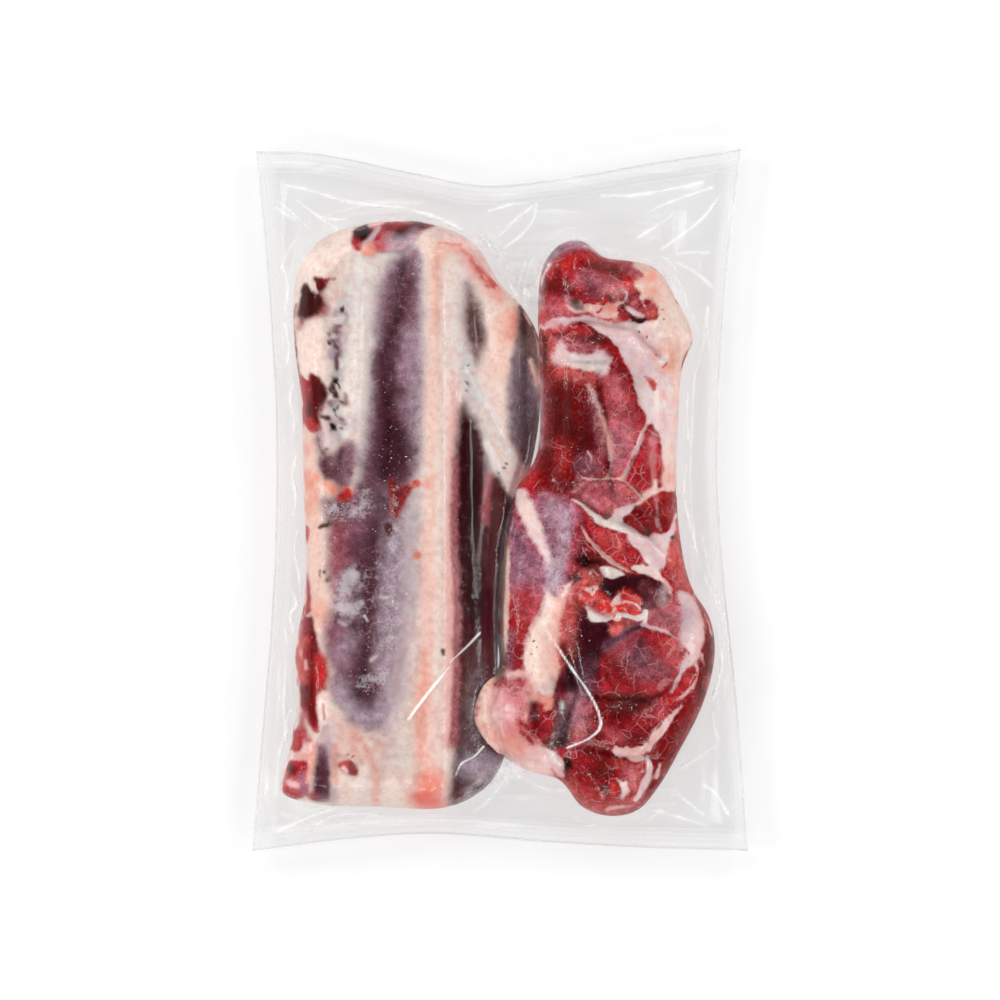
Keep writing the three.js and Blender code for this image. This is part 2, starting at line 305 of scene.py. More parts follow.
# The crumbly seam beside the first rib.
SEAM = [(-77, 94, 1), (-82, 80, 2.2), (-80, 64, 2.4), (-82, 52, 2.6), (-80, 41, 4), (-80, 32, 5)]
RIB_PAINT = [
    # The fat of the border, the ribs and the foot.
    ("fat", "bone", 4, [(-66, 124, 5), (-67, 100, 6), (-69, 80, 8), (-70, 65, 8.5), (-68, 50, 6), (-67, 38,
        4), (-67.5, 20, 2.8), (-68.5, 9, 1.2)]),
    ("fat", "pearl", 4, [(-48, 119, 5), (-55, 123, 5)], 0.7),
    ("fat", "pearl", 5, [(-38, 112, 2), (-37, 60, 3), (-38, 25, 4), (-44, -5, 5), (-48, -40, 5), (-49, -80,
        6), (-54, -106, 6)], 0.9),
    ("fat", "cream", 4, [(-42, -60, 4), (-43, -100, 6), (-48, -132, 9)]),
    ("fat", "peach", 3, [(-31, 123, 3), (-31, 90, 3), (-33, 60, 3), (-33, 20, 2.5), (-34, -40, 2.5),
        (-34, -70, 2.5)]),
    ("fat", "salmon", 2, [(-30, 122, 1.2), (-30.5, 100, 0.8), (-31, 84, 0.5)], 0.35),
    ("fat", "cream", 2, [(-25.5, 112, 2), (-26, 60, 2.2), (-28, 0, 2), (-28, -60, 2), (-29, -128, 2.5)]),
    ("fat", "rosy", 1.5, [(-22, 60, 0.8), (-23.5, 20, 1), (-24.5, -20, 1), (-24.5, -60, 1.5), (-25, -120,
        1.5)]),
    ("fat", "rosy", 2.5, [(-37, -18, 1), (-36, -50, 1.2), (-35, -72, 1.2)], 0.6),
    ("fat", "salmon", 2.5, [(-37, -76, 0.6), (-37.5, -90, 1.8), (-38.8, -112, 1.8), (-38.5, -127, 0.8)],
        0.75),
    ("fat", "rosy", 3, [(-34, -96, 1), (-33, -112, 1.5), (-35, -128, 2)], 0.6),
    ("fat", "coral", 4, [(-36, -134), (-31, -136), (-30, -146), (-27, -154), (-40, -154), (-43, -148),
        (-39, -141)], 0.85),
    ("fat", "salmon", 3, [(-38, -137, 2), (-33, -141, 2)], 0.6),
    ("fat", "peach", 3, [(-94, 34, 3), (-94, 0, 4), (-91, -30, 3.5), (-89, -62, 4)]),
    ("fat", "salmon", 2, [(-96, 25, 1.4)], 0.6),
    ("fat", "salmon", 2, [(-96, 12, 1.2), (-95.5, 7, 1.2), (-91, 11, 0.8)], 0.9),
    ("fat", "salmon", 3, [(-92, 2, 1.5), (-96, -4, 2)], 0.7),
    ("fat", "salmon", 3, [(-89, -54, 2), (-86, -58, 2)], 0.6),
    ("fat", "pearl", 3, [(-71, 108, 1.5), (-74, 98, 2.5), (-76, 92, 1.5)], 0.8),
    ("fat", "rosy", 4, [(-59, -118, 3), (-58, -132, 3)], 0.6),
    ("fat", "pearl", 4, [(-66, -145, 4), (-50, -120, 5)], 0.3),
    ("fat", "rosy", 4, [(-76, -112, 4), (-79, -124, 3)], 0.6),
    ("fat", "lilac", 3, [(-86, -112, 1.5), (-85, -122, 2.5), (-81, -130, 1.5)], 0.7),
    # The cap of lean at the head.
    ("lean", "rose", 1.5, [(-73.5, 128), (-72, 133.5), (-67, 137.5), (-58, 138.5), (-48, 138.5), (-38, 138),
        (-32, 137), (-37, 133.5), (-42, 130), (-44, 126.5), (-50, 124.5), (-57, 122.5), (-62, 123.5), (-66,
        127), (-71, 123.5)]),
    ("lean", "crimson", 1.5, [(-56, 137, 1.8), (-47, 136, 2.2), (-40, 137, 1.2), (-34, 137.5, 0.8)]),
    ("lean", "garnet", 1.5, [(-55, 134.5, 2.6)]),
    ("lean", "deep", 1.2, [(-50, 129.5, 2), (-47.5, 132, 2.2), (-42, 135, 1.4), (-37, 136.5, 0.8)]),
    ("lean", "ink", 1.2, [(-49.5, 130, 1.4)]),
    ("lean", "deep", 1.5, [(-68.5, 132, 4)]),
    ("lean", "ink", 1.2, [(-69, 131, 1.8), (-66.5, 134, 1.2)]),
    ("lean", "crimson", 1.5, [(-72, 127, 1.2), (-70, 124.5, 1.5)]),
    ("lean", "crimson", 2.5, [(-60, 128, 3.4)], 0.75),
    ("lean", "lilac", 2.5, [(-53, 127, 2.5), (-47, 127, 1.5), (-42, 131, 1)], 0.7),
    ("fat", "lilac", 1.2, [(-66, 127.5, 1), (-63, 131, 1.4), (-60, 135, 0.8)], 0.8),
    ("fat", "salmon", 1.2, [(-65, 124.5, 1.2), (-62, 122.5, 0.8), (-67, 122, 0.6)], 0.9),
    ("fat", "rosy", 1.5, [(-64, 137, 1.2), (-59, 138, 0.8)]),
    ("fat", "bone", 0.8, [(-43.5, 127, 0.5), (-44, 121, 0.6)]),
    # Dark lean showing through the border.
    ("lean", "rose", 2.5, [(-88, 100, 2), (-87, 94, 2.5), (-97, 90, 2), (-99, 86, 1)], 0.9),
    ("lean", "blood", 1.2, [(-98.5, 102), (-97, 106.5), (-94.5, 106.5), (-92, 102.5), (-88.5, 100.5), (-88,
        95), (-91, 91.5), (-96, 90.5), (-100, 91.5)]),
    ("lean", "deep", 1, [(-92, 110), (-87.5, 109), (-84, 107.5), (-86, 103), (-89.5, 102.5)]),
    ("lean", "crimson", 0.8, [(-85, 108, 0.6), (-81.5, 108.6, 0.6)]),
    ("fat", "cream", 0.8, [(-92, 106.5, 0.8), (-90, 102, 0.4)]),
    ("lean", "garnet", 1, [(-101.8, 97, 0.9), (-102.2, 82, 1), (-101.5, 70, 1.2), (-100.3, 61, 1.1)]),
    ("fat", "cream", 0.8, [(-101.5, 91, 0.5), (-102, 84, 0.3)]),
    ("lean", "crimson", 1.2, [(-99.5, 60.5), (-95, 61), (-92, 62), (-88.5, 60), (-86.5, 55), (-85, 51), (-86,
        45), (-88, 41), (-88.5, 35), (-91, 33.5), (-95, 35), (-98, 40), (-99.5, 50)]),
    ("lean", "deep", 2, [(-91, 59, 2), (-89.5, 52, 3.2), (-91.5, 44, 3), (-90.5, 37, 1.8)]),
    ("lean", "ink", 2, [(-87, 55, 1), (-86.5, 49, 1)], 0.7),
    ("lean", "scarlet", 1.2, [(-92.5, 35.5, 1.6), (-97.5, 41, 0.8)], 0.8),
    ("fat", "cream", 0.8, [(-97, 61, 0.5), (-94.5, 60, 0.5)]),
    # The crumbly seam beside the first rib.
    ("lean", "mauve", 2.2, [(-76.5, 91, 0.7), (-79.5, 86, 1.8), (-81, 80, 2), (-80, 73, 1.8), (-81, 67, 0.9),
        (-80, 62, 0.7)], 0.9),
    ("tint", "lilac", 3, [(-78, 84, 2), (-78, 72, 2)], 0.5),
    ("fat", "salmon", 1.2, [(-79.5, 91, 0.8), (-78, 88.5, 0.8)], 0.8),
    ("lean", "umber", 0.8, [(-84.5, 77.5, 1.1)]),
    ("lean", "umber", 0.8, [(-84, 81.5, 0.5)]),
    ("lean", "plum", 0.8, [(-80.5, 70, 0.9), (-80.5, 66, 0.7)]),
    ("lean", "umber", 1, [(-81.5, 60, 0.8), (-82.5, 55, 1.3), (-80.5, 51, 1.4)]),
    ("fat", "lilac", 4, [(-84, 45, 2), (-82, 34, 4), (-74, 38, 3)], 0.6),
    ("lean", "umber", 0.8, [(-83, 47, 0.9)]),
    ("lean", "umber", 0.8, [(-87, 41, 0.8), (-84, 40.5, 1.3)]),
    ("lean", "umber", 0.8, [(-83, 37, 1.2), (-81, 34.5, 0.9)]),
    ("lean", "mauve", 1.5, [(-76, 52, 0.6), (-76, 47, 1.2)], 0.7),
    ("lean", "mauve", 1.5, [(-78, 41, 1), (-76, 36, 0.8)], 0.7),
    ("lean", "mauve", 3, [(-91.5, 31), (-88, 33), (-87, 27), (-84, 23), (-80, 23), (-77, 28), (-72, 29), (-70,
        20), (-72, 12), (-75, 6), (-80, 6), (-84, 9.5), (-88.5, 14), (-89, 22)]),
    ("lean", "maroon", 2, [(-87, 18, 1.6), (-84.5, 12, 2)], 0.75),
    ("lean", "plum", 2, [(-77.5, 23, 1.8), (-75, 15, 2)], 0.7),
    *crumbs("fat", ("pearl", "lilac", "bone"), SEAM, 34, 1, 0.8, 11),
    *crumbs("lean", ("umber", "mauve", "ink"), SEAM, 30, 0.7, 0.7, 12),
    ("frost", None, 3, [(-83, 28, 2.5), (-76, 36, 3)], 0.9),
    ("lean", "umber", 0.7, [(-84.5, 25, 0.8)]),
    # The purple lean between the ribs.
    ("fat", "lilac", 5, [(-47, 4, 2), (-47, -30, 3), (-48, -60, 4), (-52, -90, 4), (-58, -110, 3)], 0.75),
    ("lean", "lilac", 5, [(-43, 123, 3), (-45.5, 116, 6), (-48.5, 108, 9.4), (-49.5, 95, 10.8), (-50.5, 80,
        11), (-51, 65, 11.6), (-51.8, 50, 12), (-53, 35, 12.4), (-54, 22, 13)]),
    ("lean", "plum", 3.6, [(-42.8, 121, 1.2), (-45.5, 115, 3.8), (-48.5, 108, 7), (-49.5, 95, 8.4), (-50.5,
        80, 8.8), (-51, 65, 9.4), (-51.8, 50, 10), (-53, 35, 10.5), (-54, 22, 11), (-56, 10, 12), (-58, 2,
        12)]),
    ("lean", "lilac", 4.5, [(-45, 82, 2.5), (-44.5, 70, 4), (-43.5, 58, 4.5), (-43.5, 45, 3.5), (-43, 33, 2),
        (-42, 22, 1.5)], 0.55),
    ("tint", "heather", 5, [(-50, 72, 4), (-49, 60, 3)], 0.35),
    ("tint", "mauve", 4, [(-45, 116, 2), (-48, 104, 4), (-50, 90, 5)], 0.6),
    ("lean", "maroon", 4, [(-45, 108, 0.8), (-47, 98, 1), (-53, 84, 1.4), (-57, 70, 2.6), (-57, 55, 3), (-55,
        42, 4), (-53, 30, 6.5), (-52, 20, 7.5), (-57, 12, 4.5)], 0.85),
    ("lean", "maroon", 2.5, [(-49, 54, 2)], 0.7),
    ("lean", "ink", 4, [(-49, 31, 2.5), (-51, 21, 2.5)], 0.45),
    ("tint", "lilac", 3, [(-59.5, 104, 1), (-60.5, 80, 1)], 0.4),
    # The lower purple lean.
    ("lean", "plum", 4.5, [(-87, 1), (-86.5, -8), (-85, -15), (-84.5, -24), (-84.5, -33), (-83, -43),
        (-82.5, -52), (-84.5, -60), (-86, -66), (-85, -76), (-82, -84), (-81, -92), (-79, -99), (-75, -102),
        (-73.5, -108), (-70, -111), (-61, -111), (-58.5, -106), (-57.5, -96), (-56, -88), (-54.5, -78),
        (-53, -66), (-52.5, -52), (-52, -40), (-51, -28), (-50, -15), (-50, -5), (-52, 2), (-60, 9), (-66, 8),
        (-72, 5), (-80, 2)]),
    ("lean", "slate", 4, [(-56, 2, 4), (-57, -8, 4), (-54, -24, 3)], 0.5),
    ("lean", "rose", 4, [(-79, -14, 3), (-79, -25, 4), (-80, -38, 3), (-77, -47, 2.5)], 0.5),
    ("lean", "maroon", 5, [(-60, -12, 3), (-62, -26, 5), (-62, -42, 5.5), (-63, -56, 4.5), (-64, -70, 4),
        (-66, -84, 3), (-66, -98, 5)], 0.8),
    ("lean", "heather", 4, [(-83, -64, 2), (-80, -70, 3.5), (-77, -78, 3)], 0.7),
    ("lean", "lilac", 4, [(-78, -76, 2.5), (-74, -70, 2.5)], 0.6),
    ("lean", "lilac", 4, [(-80, -92, 2), (-76, -100, 2), (-62, -108, 3.5), (-58, -100, 1.5)], 0.9),
    ("lean", "lilac", 4, [(-53, -14, 2), (-54, -44, 3), (-55, -62, 3), (-57, -82, 3)], 0.85),
    ("lean", "heather", 3, [(-73, -2, 3), (-72, -14, 2)], 0.6),
    ("frost", None, 3, [(-83, -3, 2), (-76, -5, 2.5), (-68, -3, 3), (-66, 3, 2)], 1),
    ("lean", "lilac", 3, [(-77, -40, 2), (-76, -49, 3.4), (-74, -55, 2)], 0.8),
    ("frost", None, 3, [(-77, -44, 3), (-73, -37, 4)], 1.7),
    ("frost", None, 3, [(-80, -53, 2.4), (-74, -53, 3.4), (-69, -51, 2)], 1.7),
    ("fat", "bone", 1.4, [(-79, -60, 0.5), (-76, -61.5, 0.7)]),
    ("frost", None, 2, [(-70, -91, 1.4), (-64, -87, 1.2), (-60, -90, 2), (-56, -85, 1.6)], 1.25),
    ("frost", None, 3, [(-84, -4, 2), (-76, -7, 3), (-68, -4, 4), (-66, 4, 2)], 1.1),
    ("frost", None, 3, [(-86, 26, 2), (-80, 31, 3), (-74, 36, 3)], 1.1),
    ("fat", "pearl", 0.8, [(-67, -57, 0.8), (-65.5, -60, 0.5)]),
    ("fat", "pearl", 0.8, [(-57, -47.5, 0.9), (-54, -47, 0.5)]),
    ("fat", "pearl", 1, [(-63, -79, 0.7), (-61, -77, 0.7)]),
    ("frost", None, 3, [(-70, -44, 3), (-66, -36, 2)], 0.8),
    ("frost", None, 3, [(-75, -60, 2), (-71, -66, 2.5)], 0.6),
    ("frost", None, 3, [(-66, -90, 4), (-58, -86, 3)], 0.9),
    ("frost", None, 3, [(-52, 5, 2), (-52, -30, 4), (-53, -70, 4)], 0.7),
    ("frost", None, 3, [(-49, 106, 6), (-50, 80, 7), (-49, 60, 6)], 0.25),
    ("frost", None, 4, [(-60, -30, 7), (-62, -70, 7)], 0.4),
    # Spots of blood, and dark bits.
    ("lean", "rust", 1, [(-54, 9.5), (-51.5, 6), (-48.5, 5.5), (-45, 7), (-42, 7), (-44, 3.5), (-46, 0),
        (-48, -4), (-50.5, -8), (-53.5, -5), (-54, 0)], 0.9),
    ("tint", "deep", 2, [(-52, 8, 1.5), (-50, 2, 1.4), (-51, -3, 1)], 0.75),
    ("lean", "coral", 1, [(-40.5, 8, 1.9)], 0.85),
    ("fat", "coral", 1, [(-36, 8, 0.8)], 0.4),
    ("lean", "scarlet", 1, [(-78, 2, 1.6), (-75.5, 3.5, 2)]),
    ("fat", "salmon", 1.5, [(-85, 8, 1), (-82, 5, 1.6)], 0.9),
    ("lean", "scarlet", 1, [(-97, -13), (-95, -13), (-94, -17), (-95.5, -21), (-98, -25), (-99, -18)]),
    ("lean", "umber", 0.8, [(-90, -13, 0.5), (-88, -12.5, 1.2), (-85.5, -12, 0.8)]),
    ("lean", "umber", 0.8, [(-55.5, -13, 0.9), (-54.5, -15.5, 0.8)]),
    ("lean", "umber", 0.7, [(-89.5, -35, 0.5), (-89, -38, 0.5)]),
    ("lean", "umber", 0.7, [(-87, -36, 0.6)]),
    ("lean", "umber", 0.7, [(-85, -39.5, 0.5)]),
    ("lean", "umber", 0.8, [(-28, -73, 0.9), (-28.3, -75.5, 0.8)]),
    ("fat", "salmon", 0.7, [(-41, -27, 0.6)]),
    # The red edge at the lower left, and the lumps at its foot.
    ("lean", "crimson", 1.2, [(-96, -37, 0.8), (-95.5, -44, 1.8), (-95, -52, 2), (-95.5, -60, 3), (-95, -68,
        3.8), (-93, -76, 5), (-92, -84, 6), (-93.5, -92, 5.5), (-94.5, -100, 4.8), (-93, -106, 3.2),
        (-90.5, -113, 1.4)]),
    ("lean", "deep", 1.8, [(-94, -58, 0.9), (-92.5, -68, 1.3), (-91.5, -78, 1.5), (-94, -86, 2.6), (-95, -97,
        3), (-92.5, -107, 1.6)], 0.85),
    ("lean", "scarlet", 1.8, [(-88, -78, 1.5), (-87.5, -86, 3), (-86.5, -92, 1.4)], 0.8),
    ("lean", "rouge", 1.5, [(-98, -70, 1), (-101.5, -76, 2.2), (-99, -82, 3), (-98.5, -88, 1.8)]),
    ("fat", "rosy", 1, [(-95.5, -79, 0.5), (-95.5, -83, 0.9)]),
    ("fat", "rosy", 0.8, [(-96, -57, 0.5), (-93, -55.5, 0.5)]),
    ("fat", "cream", 1.2, [(-87, -97, 1.5), (-87, -106, 1.5)]),
    ("lean", "scarlet", 0.8, [(-86.5, -101, 0.4), (-86.3, -108, 0.5)]),
    ("lean", "rose", 2, [(-98, -106, 1), (-97, -113, 2), (-94, -119, 1.5)], 0.8),
    ("lean", "crimson", 1.2, [(-103, -116), (-100, -112.5), (-96.5, -116), (-97, -122), (-99.5, -125),
        (-104, -123)]),
    ("lean", "scarlet", 1.5, [(-102, -121, 1.4)], 0.7),
    ("fat", "rosy", 1.2, [(-100, -127, 1.2), (-95, -126, 1.6), (-92, -121, 1.4)]),
    ("lean", "rose", 1.5, [(-105, -130), (-100, -129), (-95, -129), (-93, -134), (-95, -142), (-99, -147),
        (-107, -147), (-108, -140)]),
    ("lean", "crimson", 1.2, [(-103.5, -132.5, 3.4), (-97, -131, 1.6)]),
    ("lean", "deep", 1, [(-103, -133.5, 1.2)]),
    ("fat", "rosy", 1, [(-104, -140, 1.6), (-100, -141, 1.4)], 0.9),
    ("lean", "crimson", 1.2, [(-107.5, -144.5, 1.8), (-103, -147.5, 1.8), (-99, -147, 1)]),
    ("lean", "heather", 2, [(-97, -138, 1.5), (-96, -145, 1.5)], 0.8),
    ("fat", "salmon", 1, [(-92, -127, 0.8), (-93.5, -133, 1), (-94.5, -139, 0.6)], 0.7),
    ("lean", "plum", 1.8, [(-89.5, -120), (-86.5, -121), (-84.5, -129), (-83.5, -138), (-83, -148),
        (-92, -148.5), (-91, -138), (-90.5, -128)]),
    ("lean", "maroon", 2.5, [(-88.5, -142, 2.4), (-88, -130, 1)], 0.8),
    ("lean", "crimson", 2, [(-93, -146.5, 1.6)], 0.7),
    ("fat", "lilac", 2, [(-82, -144, 1.2), (-82.5, -149, 0.8)], 0.7),
    # The foot.
    ("lean", "rouge", 1, [(-80, -130), (-76, -127.5), (-72.5, -128.5), (-70, -135.5), (-73.5, -135),
        (-77.5, -134)]),
    ("lean", "umber", 1.2, [(-73.5, -130, 1), (-72, -133, 1)], 0.6),
    ("fat", "cream", 0.8, [(-76.5, -132, 1), (-75, -133.5, 0.7)]),
    ("fat", "salmon", 1, [(-70.5, -116, 0.4), (-66, -123, 0.6), (-62, -133, 0.7), (-61, -143, 0.9),
        (-61.5, -151, 0.5)], 0.45),
    ("fat", "salmon", 1, [(-72.5, -113, 0.4), (-71.5, -122, 0.6), (-69, -129, 0.5)], 0.4),
    ("lean", "scarlet", 0.6, [(-72.3, -117, 0.5)]),
    ("lean", "scarlet", 0.6, [(-74.5, -125, 0.5)]),
    ("lean", "scarlet", 0.6, [(-72, -126, 0.6)]),
    ("fat", "salmon", 1, [(-81, -122, 0.4), (-82, -132, 0.7), (-80.5, -138, 0.4)], 0.5),
    # The sloping side towards the other piece.
    ("fat", "pearl", 6, [(-16, 116, 3), (-20, 100, 3), (-19, 78, 4), (-16, 62, 4), (-10, 48, 4)], 0.7),
    ("fat", "cream", 3, [(-5, 98, 3), (-7, 80, 2.5), (-6, 60, 4), (0, 45, 3)], 0.8),
    ("fat", "peach", 2, [(-3, 88, 0.8), (-4, 62, 1.2)], 0.8),
    ("fat", "coral", 3, [(-24, 125, 0.6), (-18, 122, 1.2), (-12, 115, 2.4), (-6, 108.5, 2.4), (0, 101, 2)],
        0.5),
    ("lean", "coral", 1, [(-30, 126.5, 0.3), (-25, 126, 0.5), (-19, 126.2, 0.5)], 0.8),
    ("lean", "coral", 1.8, [(-19.5, 124, 0.4), (-15, 121, 0.6), (-11, 115, 1), (-7, 111, 1.2), (-2, 105.5,
        0.6)], 0.8),
    ("tint", "rouge", 1.4, [(-10, 114.5, 0.6), (-6, 110, 0.9), (-3.5, 106.5, 0.4)], 0.8),
    *crumbs("tint", ("coral", "rouge", "rosy"), [(-22, 124, 1), (-10, 114, 2), (1, 101, 1.6)], 16, 0.8, 0.8,
        13),
    ("fat", "rosy", 3, [(-28, 132, 1.5), (-16, 128, 2), (-8, 122, 2.5)], 0.7),
    ("lean", "taupe", 4, [(-16, 107, 0.8), (-14.5, 98, 3.2), (-13.4, 90, 4.4), (-12.4, 82, 4.4), (-11.8, 76,
        3.6), (-12, 69, 1.8)]),
    ("lean", "umber", 3, [(-13, 92, 2), (-11.6, 80, 2.4)], 0.95),
    ("fat", "peach", 3, [(0, 91), (5, 93), (9.5, 94), (8.5, 88), (6.5, 80), (4.5, 70), (2, 60), (-1, 62),
        (-1.5, 75)]),
    ("tint", "salmon", 4, [(6, 91, 3), (4, 82, 2)], 0.65),
    ("tint", "rouge", 3, [(7, 88, 1.5), (6, 82, 0.8)], 0.5),
    ("lean", "taupe", 2.5, [(11, 97), (14, 97.5), (17, 90), (19, 84), (20, 72), (18.5, 62), (9, 62), (7, 72),
        (8, 84)]),
    ("lean", "umber", 3, [(12.5, 92, 1.6), (12, 84, 1.2)], 0.75),
    ("tint", "lilac", 3, [(9, 76, 1.5), (8, 66, 1.5)], 0.5),
    ("fat", "cream", 0.7, [(14, 95.5, 0.3), (17, 91, 0.4), (17, 87, 0.3)], 0.9),
    ("lean", "slate", 3, [(4.5, 60), (8, 66), (13, 64.5), (17, 60), (19.5, 52), (20, 42), (19.5, 32), (17.5,
        24), (15, 19), (12.5, 15.5), (10, 19), (8, 25), (5, 30), (4, 40), (4, 52)]),
    ("lean", "slate", 1.5, [(8, 69, 2)], 0.9),
    ("tint", "ink", 3, [(19, 46, 1.5), (18.5, 34, 2), (16, 24, 1.5)], 0.4),
    ("tint", "lilac", 2.5, [(5.5, 62, 1), (6, 50, 1)], 0.45),
    ("fat", "peach", 1, [(15.5, 70, 1), (17, 64, 1.5), (18.3, 58, 0.6)], 0.9),
    # The dark band of lean under the strap of fat, on the slope down to the other piece: dark lean, with painted
    # shade and a painted reflection of the film.
    ("lean", "maroon", 3.5, [(-18.5, 49.5), (-20, 44), (-21, 35), (-22, 20), (-23, 5), (-23, -15),
        (-21.5, -30), (-21, -50), (-21.5, -70), (-21.5, -95), (-22.5, -110), (-23.5, -125), (-24.5, -138),
        (-25, -152), (-14, -150), (-4, -143), (4, -135), (6, -110), (6, -50), (8, -14), (5, 4), (0, 11), (-4,
        14), (-8, 25), (-11, 35), (-15, 43)]),
    # Painted shade: the darkest stripe, down the slope into the valley between the pieces.
    ("lean", "dusk", 4, [(-16.5, 36, 1.6), (-15, 15, 3.6), (-14.5, -10, 5), (-14, -40, 5), (-13.5, -56, 4)],
        0.9),
    ("lean", "umber", 3, [(-12, 32, 0.8), (-8, 16, 0.8), (-7.5, 0, 0.6), (-8, -30, 1.2)], 0.6),
    ("lean", "rose", 1.5, [(-5, 12, 0.5), (-6.5, 2, 0.7), (-7, -10, 0.5)], 0.7),
    ("lean", "umber", 2.5, [(-2, 8, 1), (-1.5, -4, 2.2), (-2, -20, 2.2), (-3, -40, 2)], 0.55),
    ("lean", "umber", 4, [(-12, -76, 6), (-12, -100, 7), (-13, -116, 7)], 0.75),
    # Painted reflection: slate grey at the band's lower end, where the film spans the valley.
    ("tint", "slate", 4, [(-9, -92, 4), (-11, -106, 5), (-14, -120, 4)], 0.3),
    ("lean", "slate", 4, [(-15, -132, 5), (-8, -132, 5), (-2, -132, 4)], 0.95),
    ("lean", "lilac", 4, [(-17, -131, 1.5), (-10, -136, 2), (-4, -138, 2)], 0.6),
    ("tint", "lilac", 3, [(-14, -131, 2.5), (-4, -130, 2)], 0.35),
    ("lean", "deep", 2, [(-22, -148), (-18, -143), (-11, -144.5), (-12, -149), (-20, -152)], 0.9),
    ("lean", "rose", 1.5, [(-22.3, 20, 0.4), (-23.2, -10, 0.6), (-21.8, -50, 0.7), (-22, -90, 1),
        (-23.5, -120, 1)], 0.6),
    ("frost", None, 4, [(-8, -88, 4), (-9, -104, 4), (-12, -132, 5)], 0.4),
    ("frost", None, 4, [(12, 50, 4), (12, 30, 3)], 0.3),
    # The strap of fat across it, with its dark specks.
    ("fat", "pearl", 1.4, [(-16, 70, 2), (-14, 56, 2.6), (-8, 42, 2.8), (-3, 30, 4), (2, 20, 5), (7, 11, 5),
        (11, 2, 4.6), (14, -8, 4)]),
    ("fat", "cream", 2.5, [(-9, 45, 1), (-3, 30, 1.5), (3, 18, 2), (9, 5, 2.2), (13, -6, 2)], 0.8),
    ("lean", "umber", 0.6, [(-15.5, 66.5, 0.5)]),
    ("lean", "umber", 0.6, [(-13, 62, 0.4)]),
    ("lean", "umber", 0.6, [(-16.5, 58, 0.5), (-15.5, 56.5, 0.5)]),
    ("lean", "umber", 0.6, [(-17, 54, 0.5)]),
    ("lean", "umber", 0.6, [(3.2, 18, 0.7)]),
    ("lean", "umber", 0.6, [(2, 15.8, 0.7)]),
    ("lean", "umber", 0.6, [(-1, 13, 0.4)]),
    ("lean", "umber", 0.6, [(14, 2, 0.5)]),
]
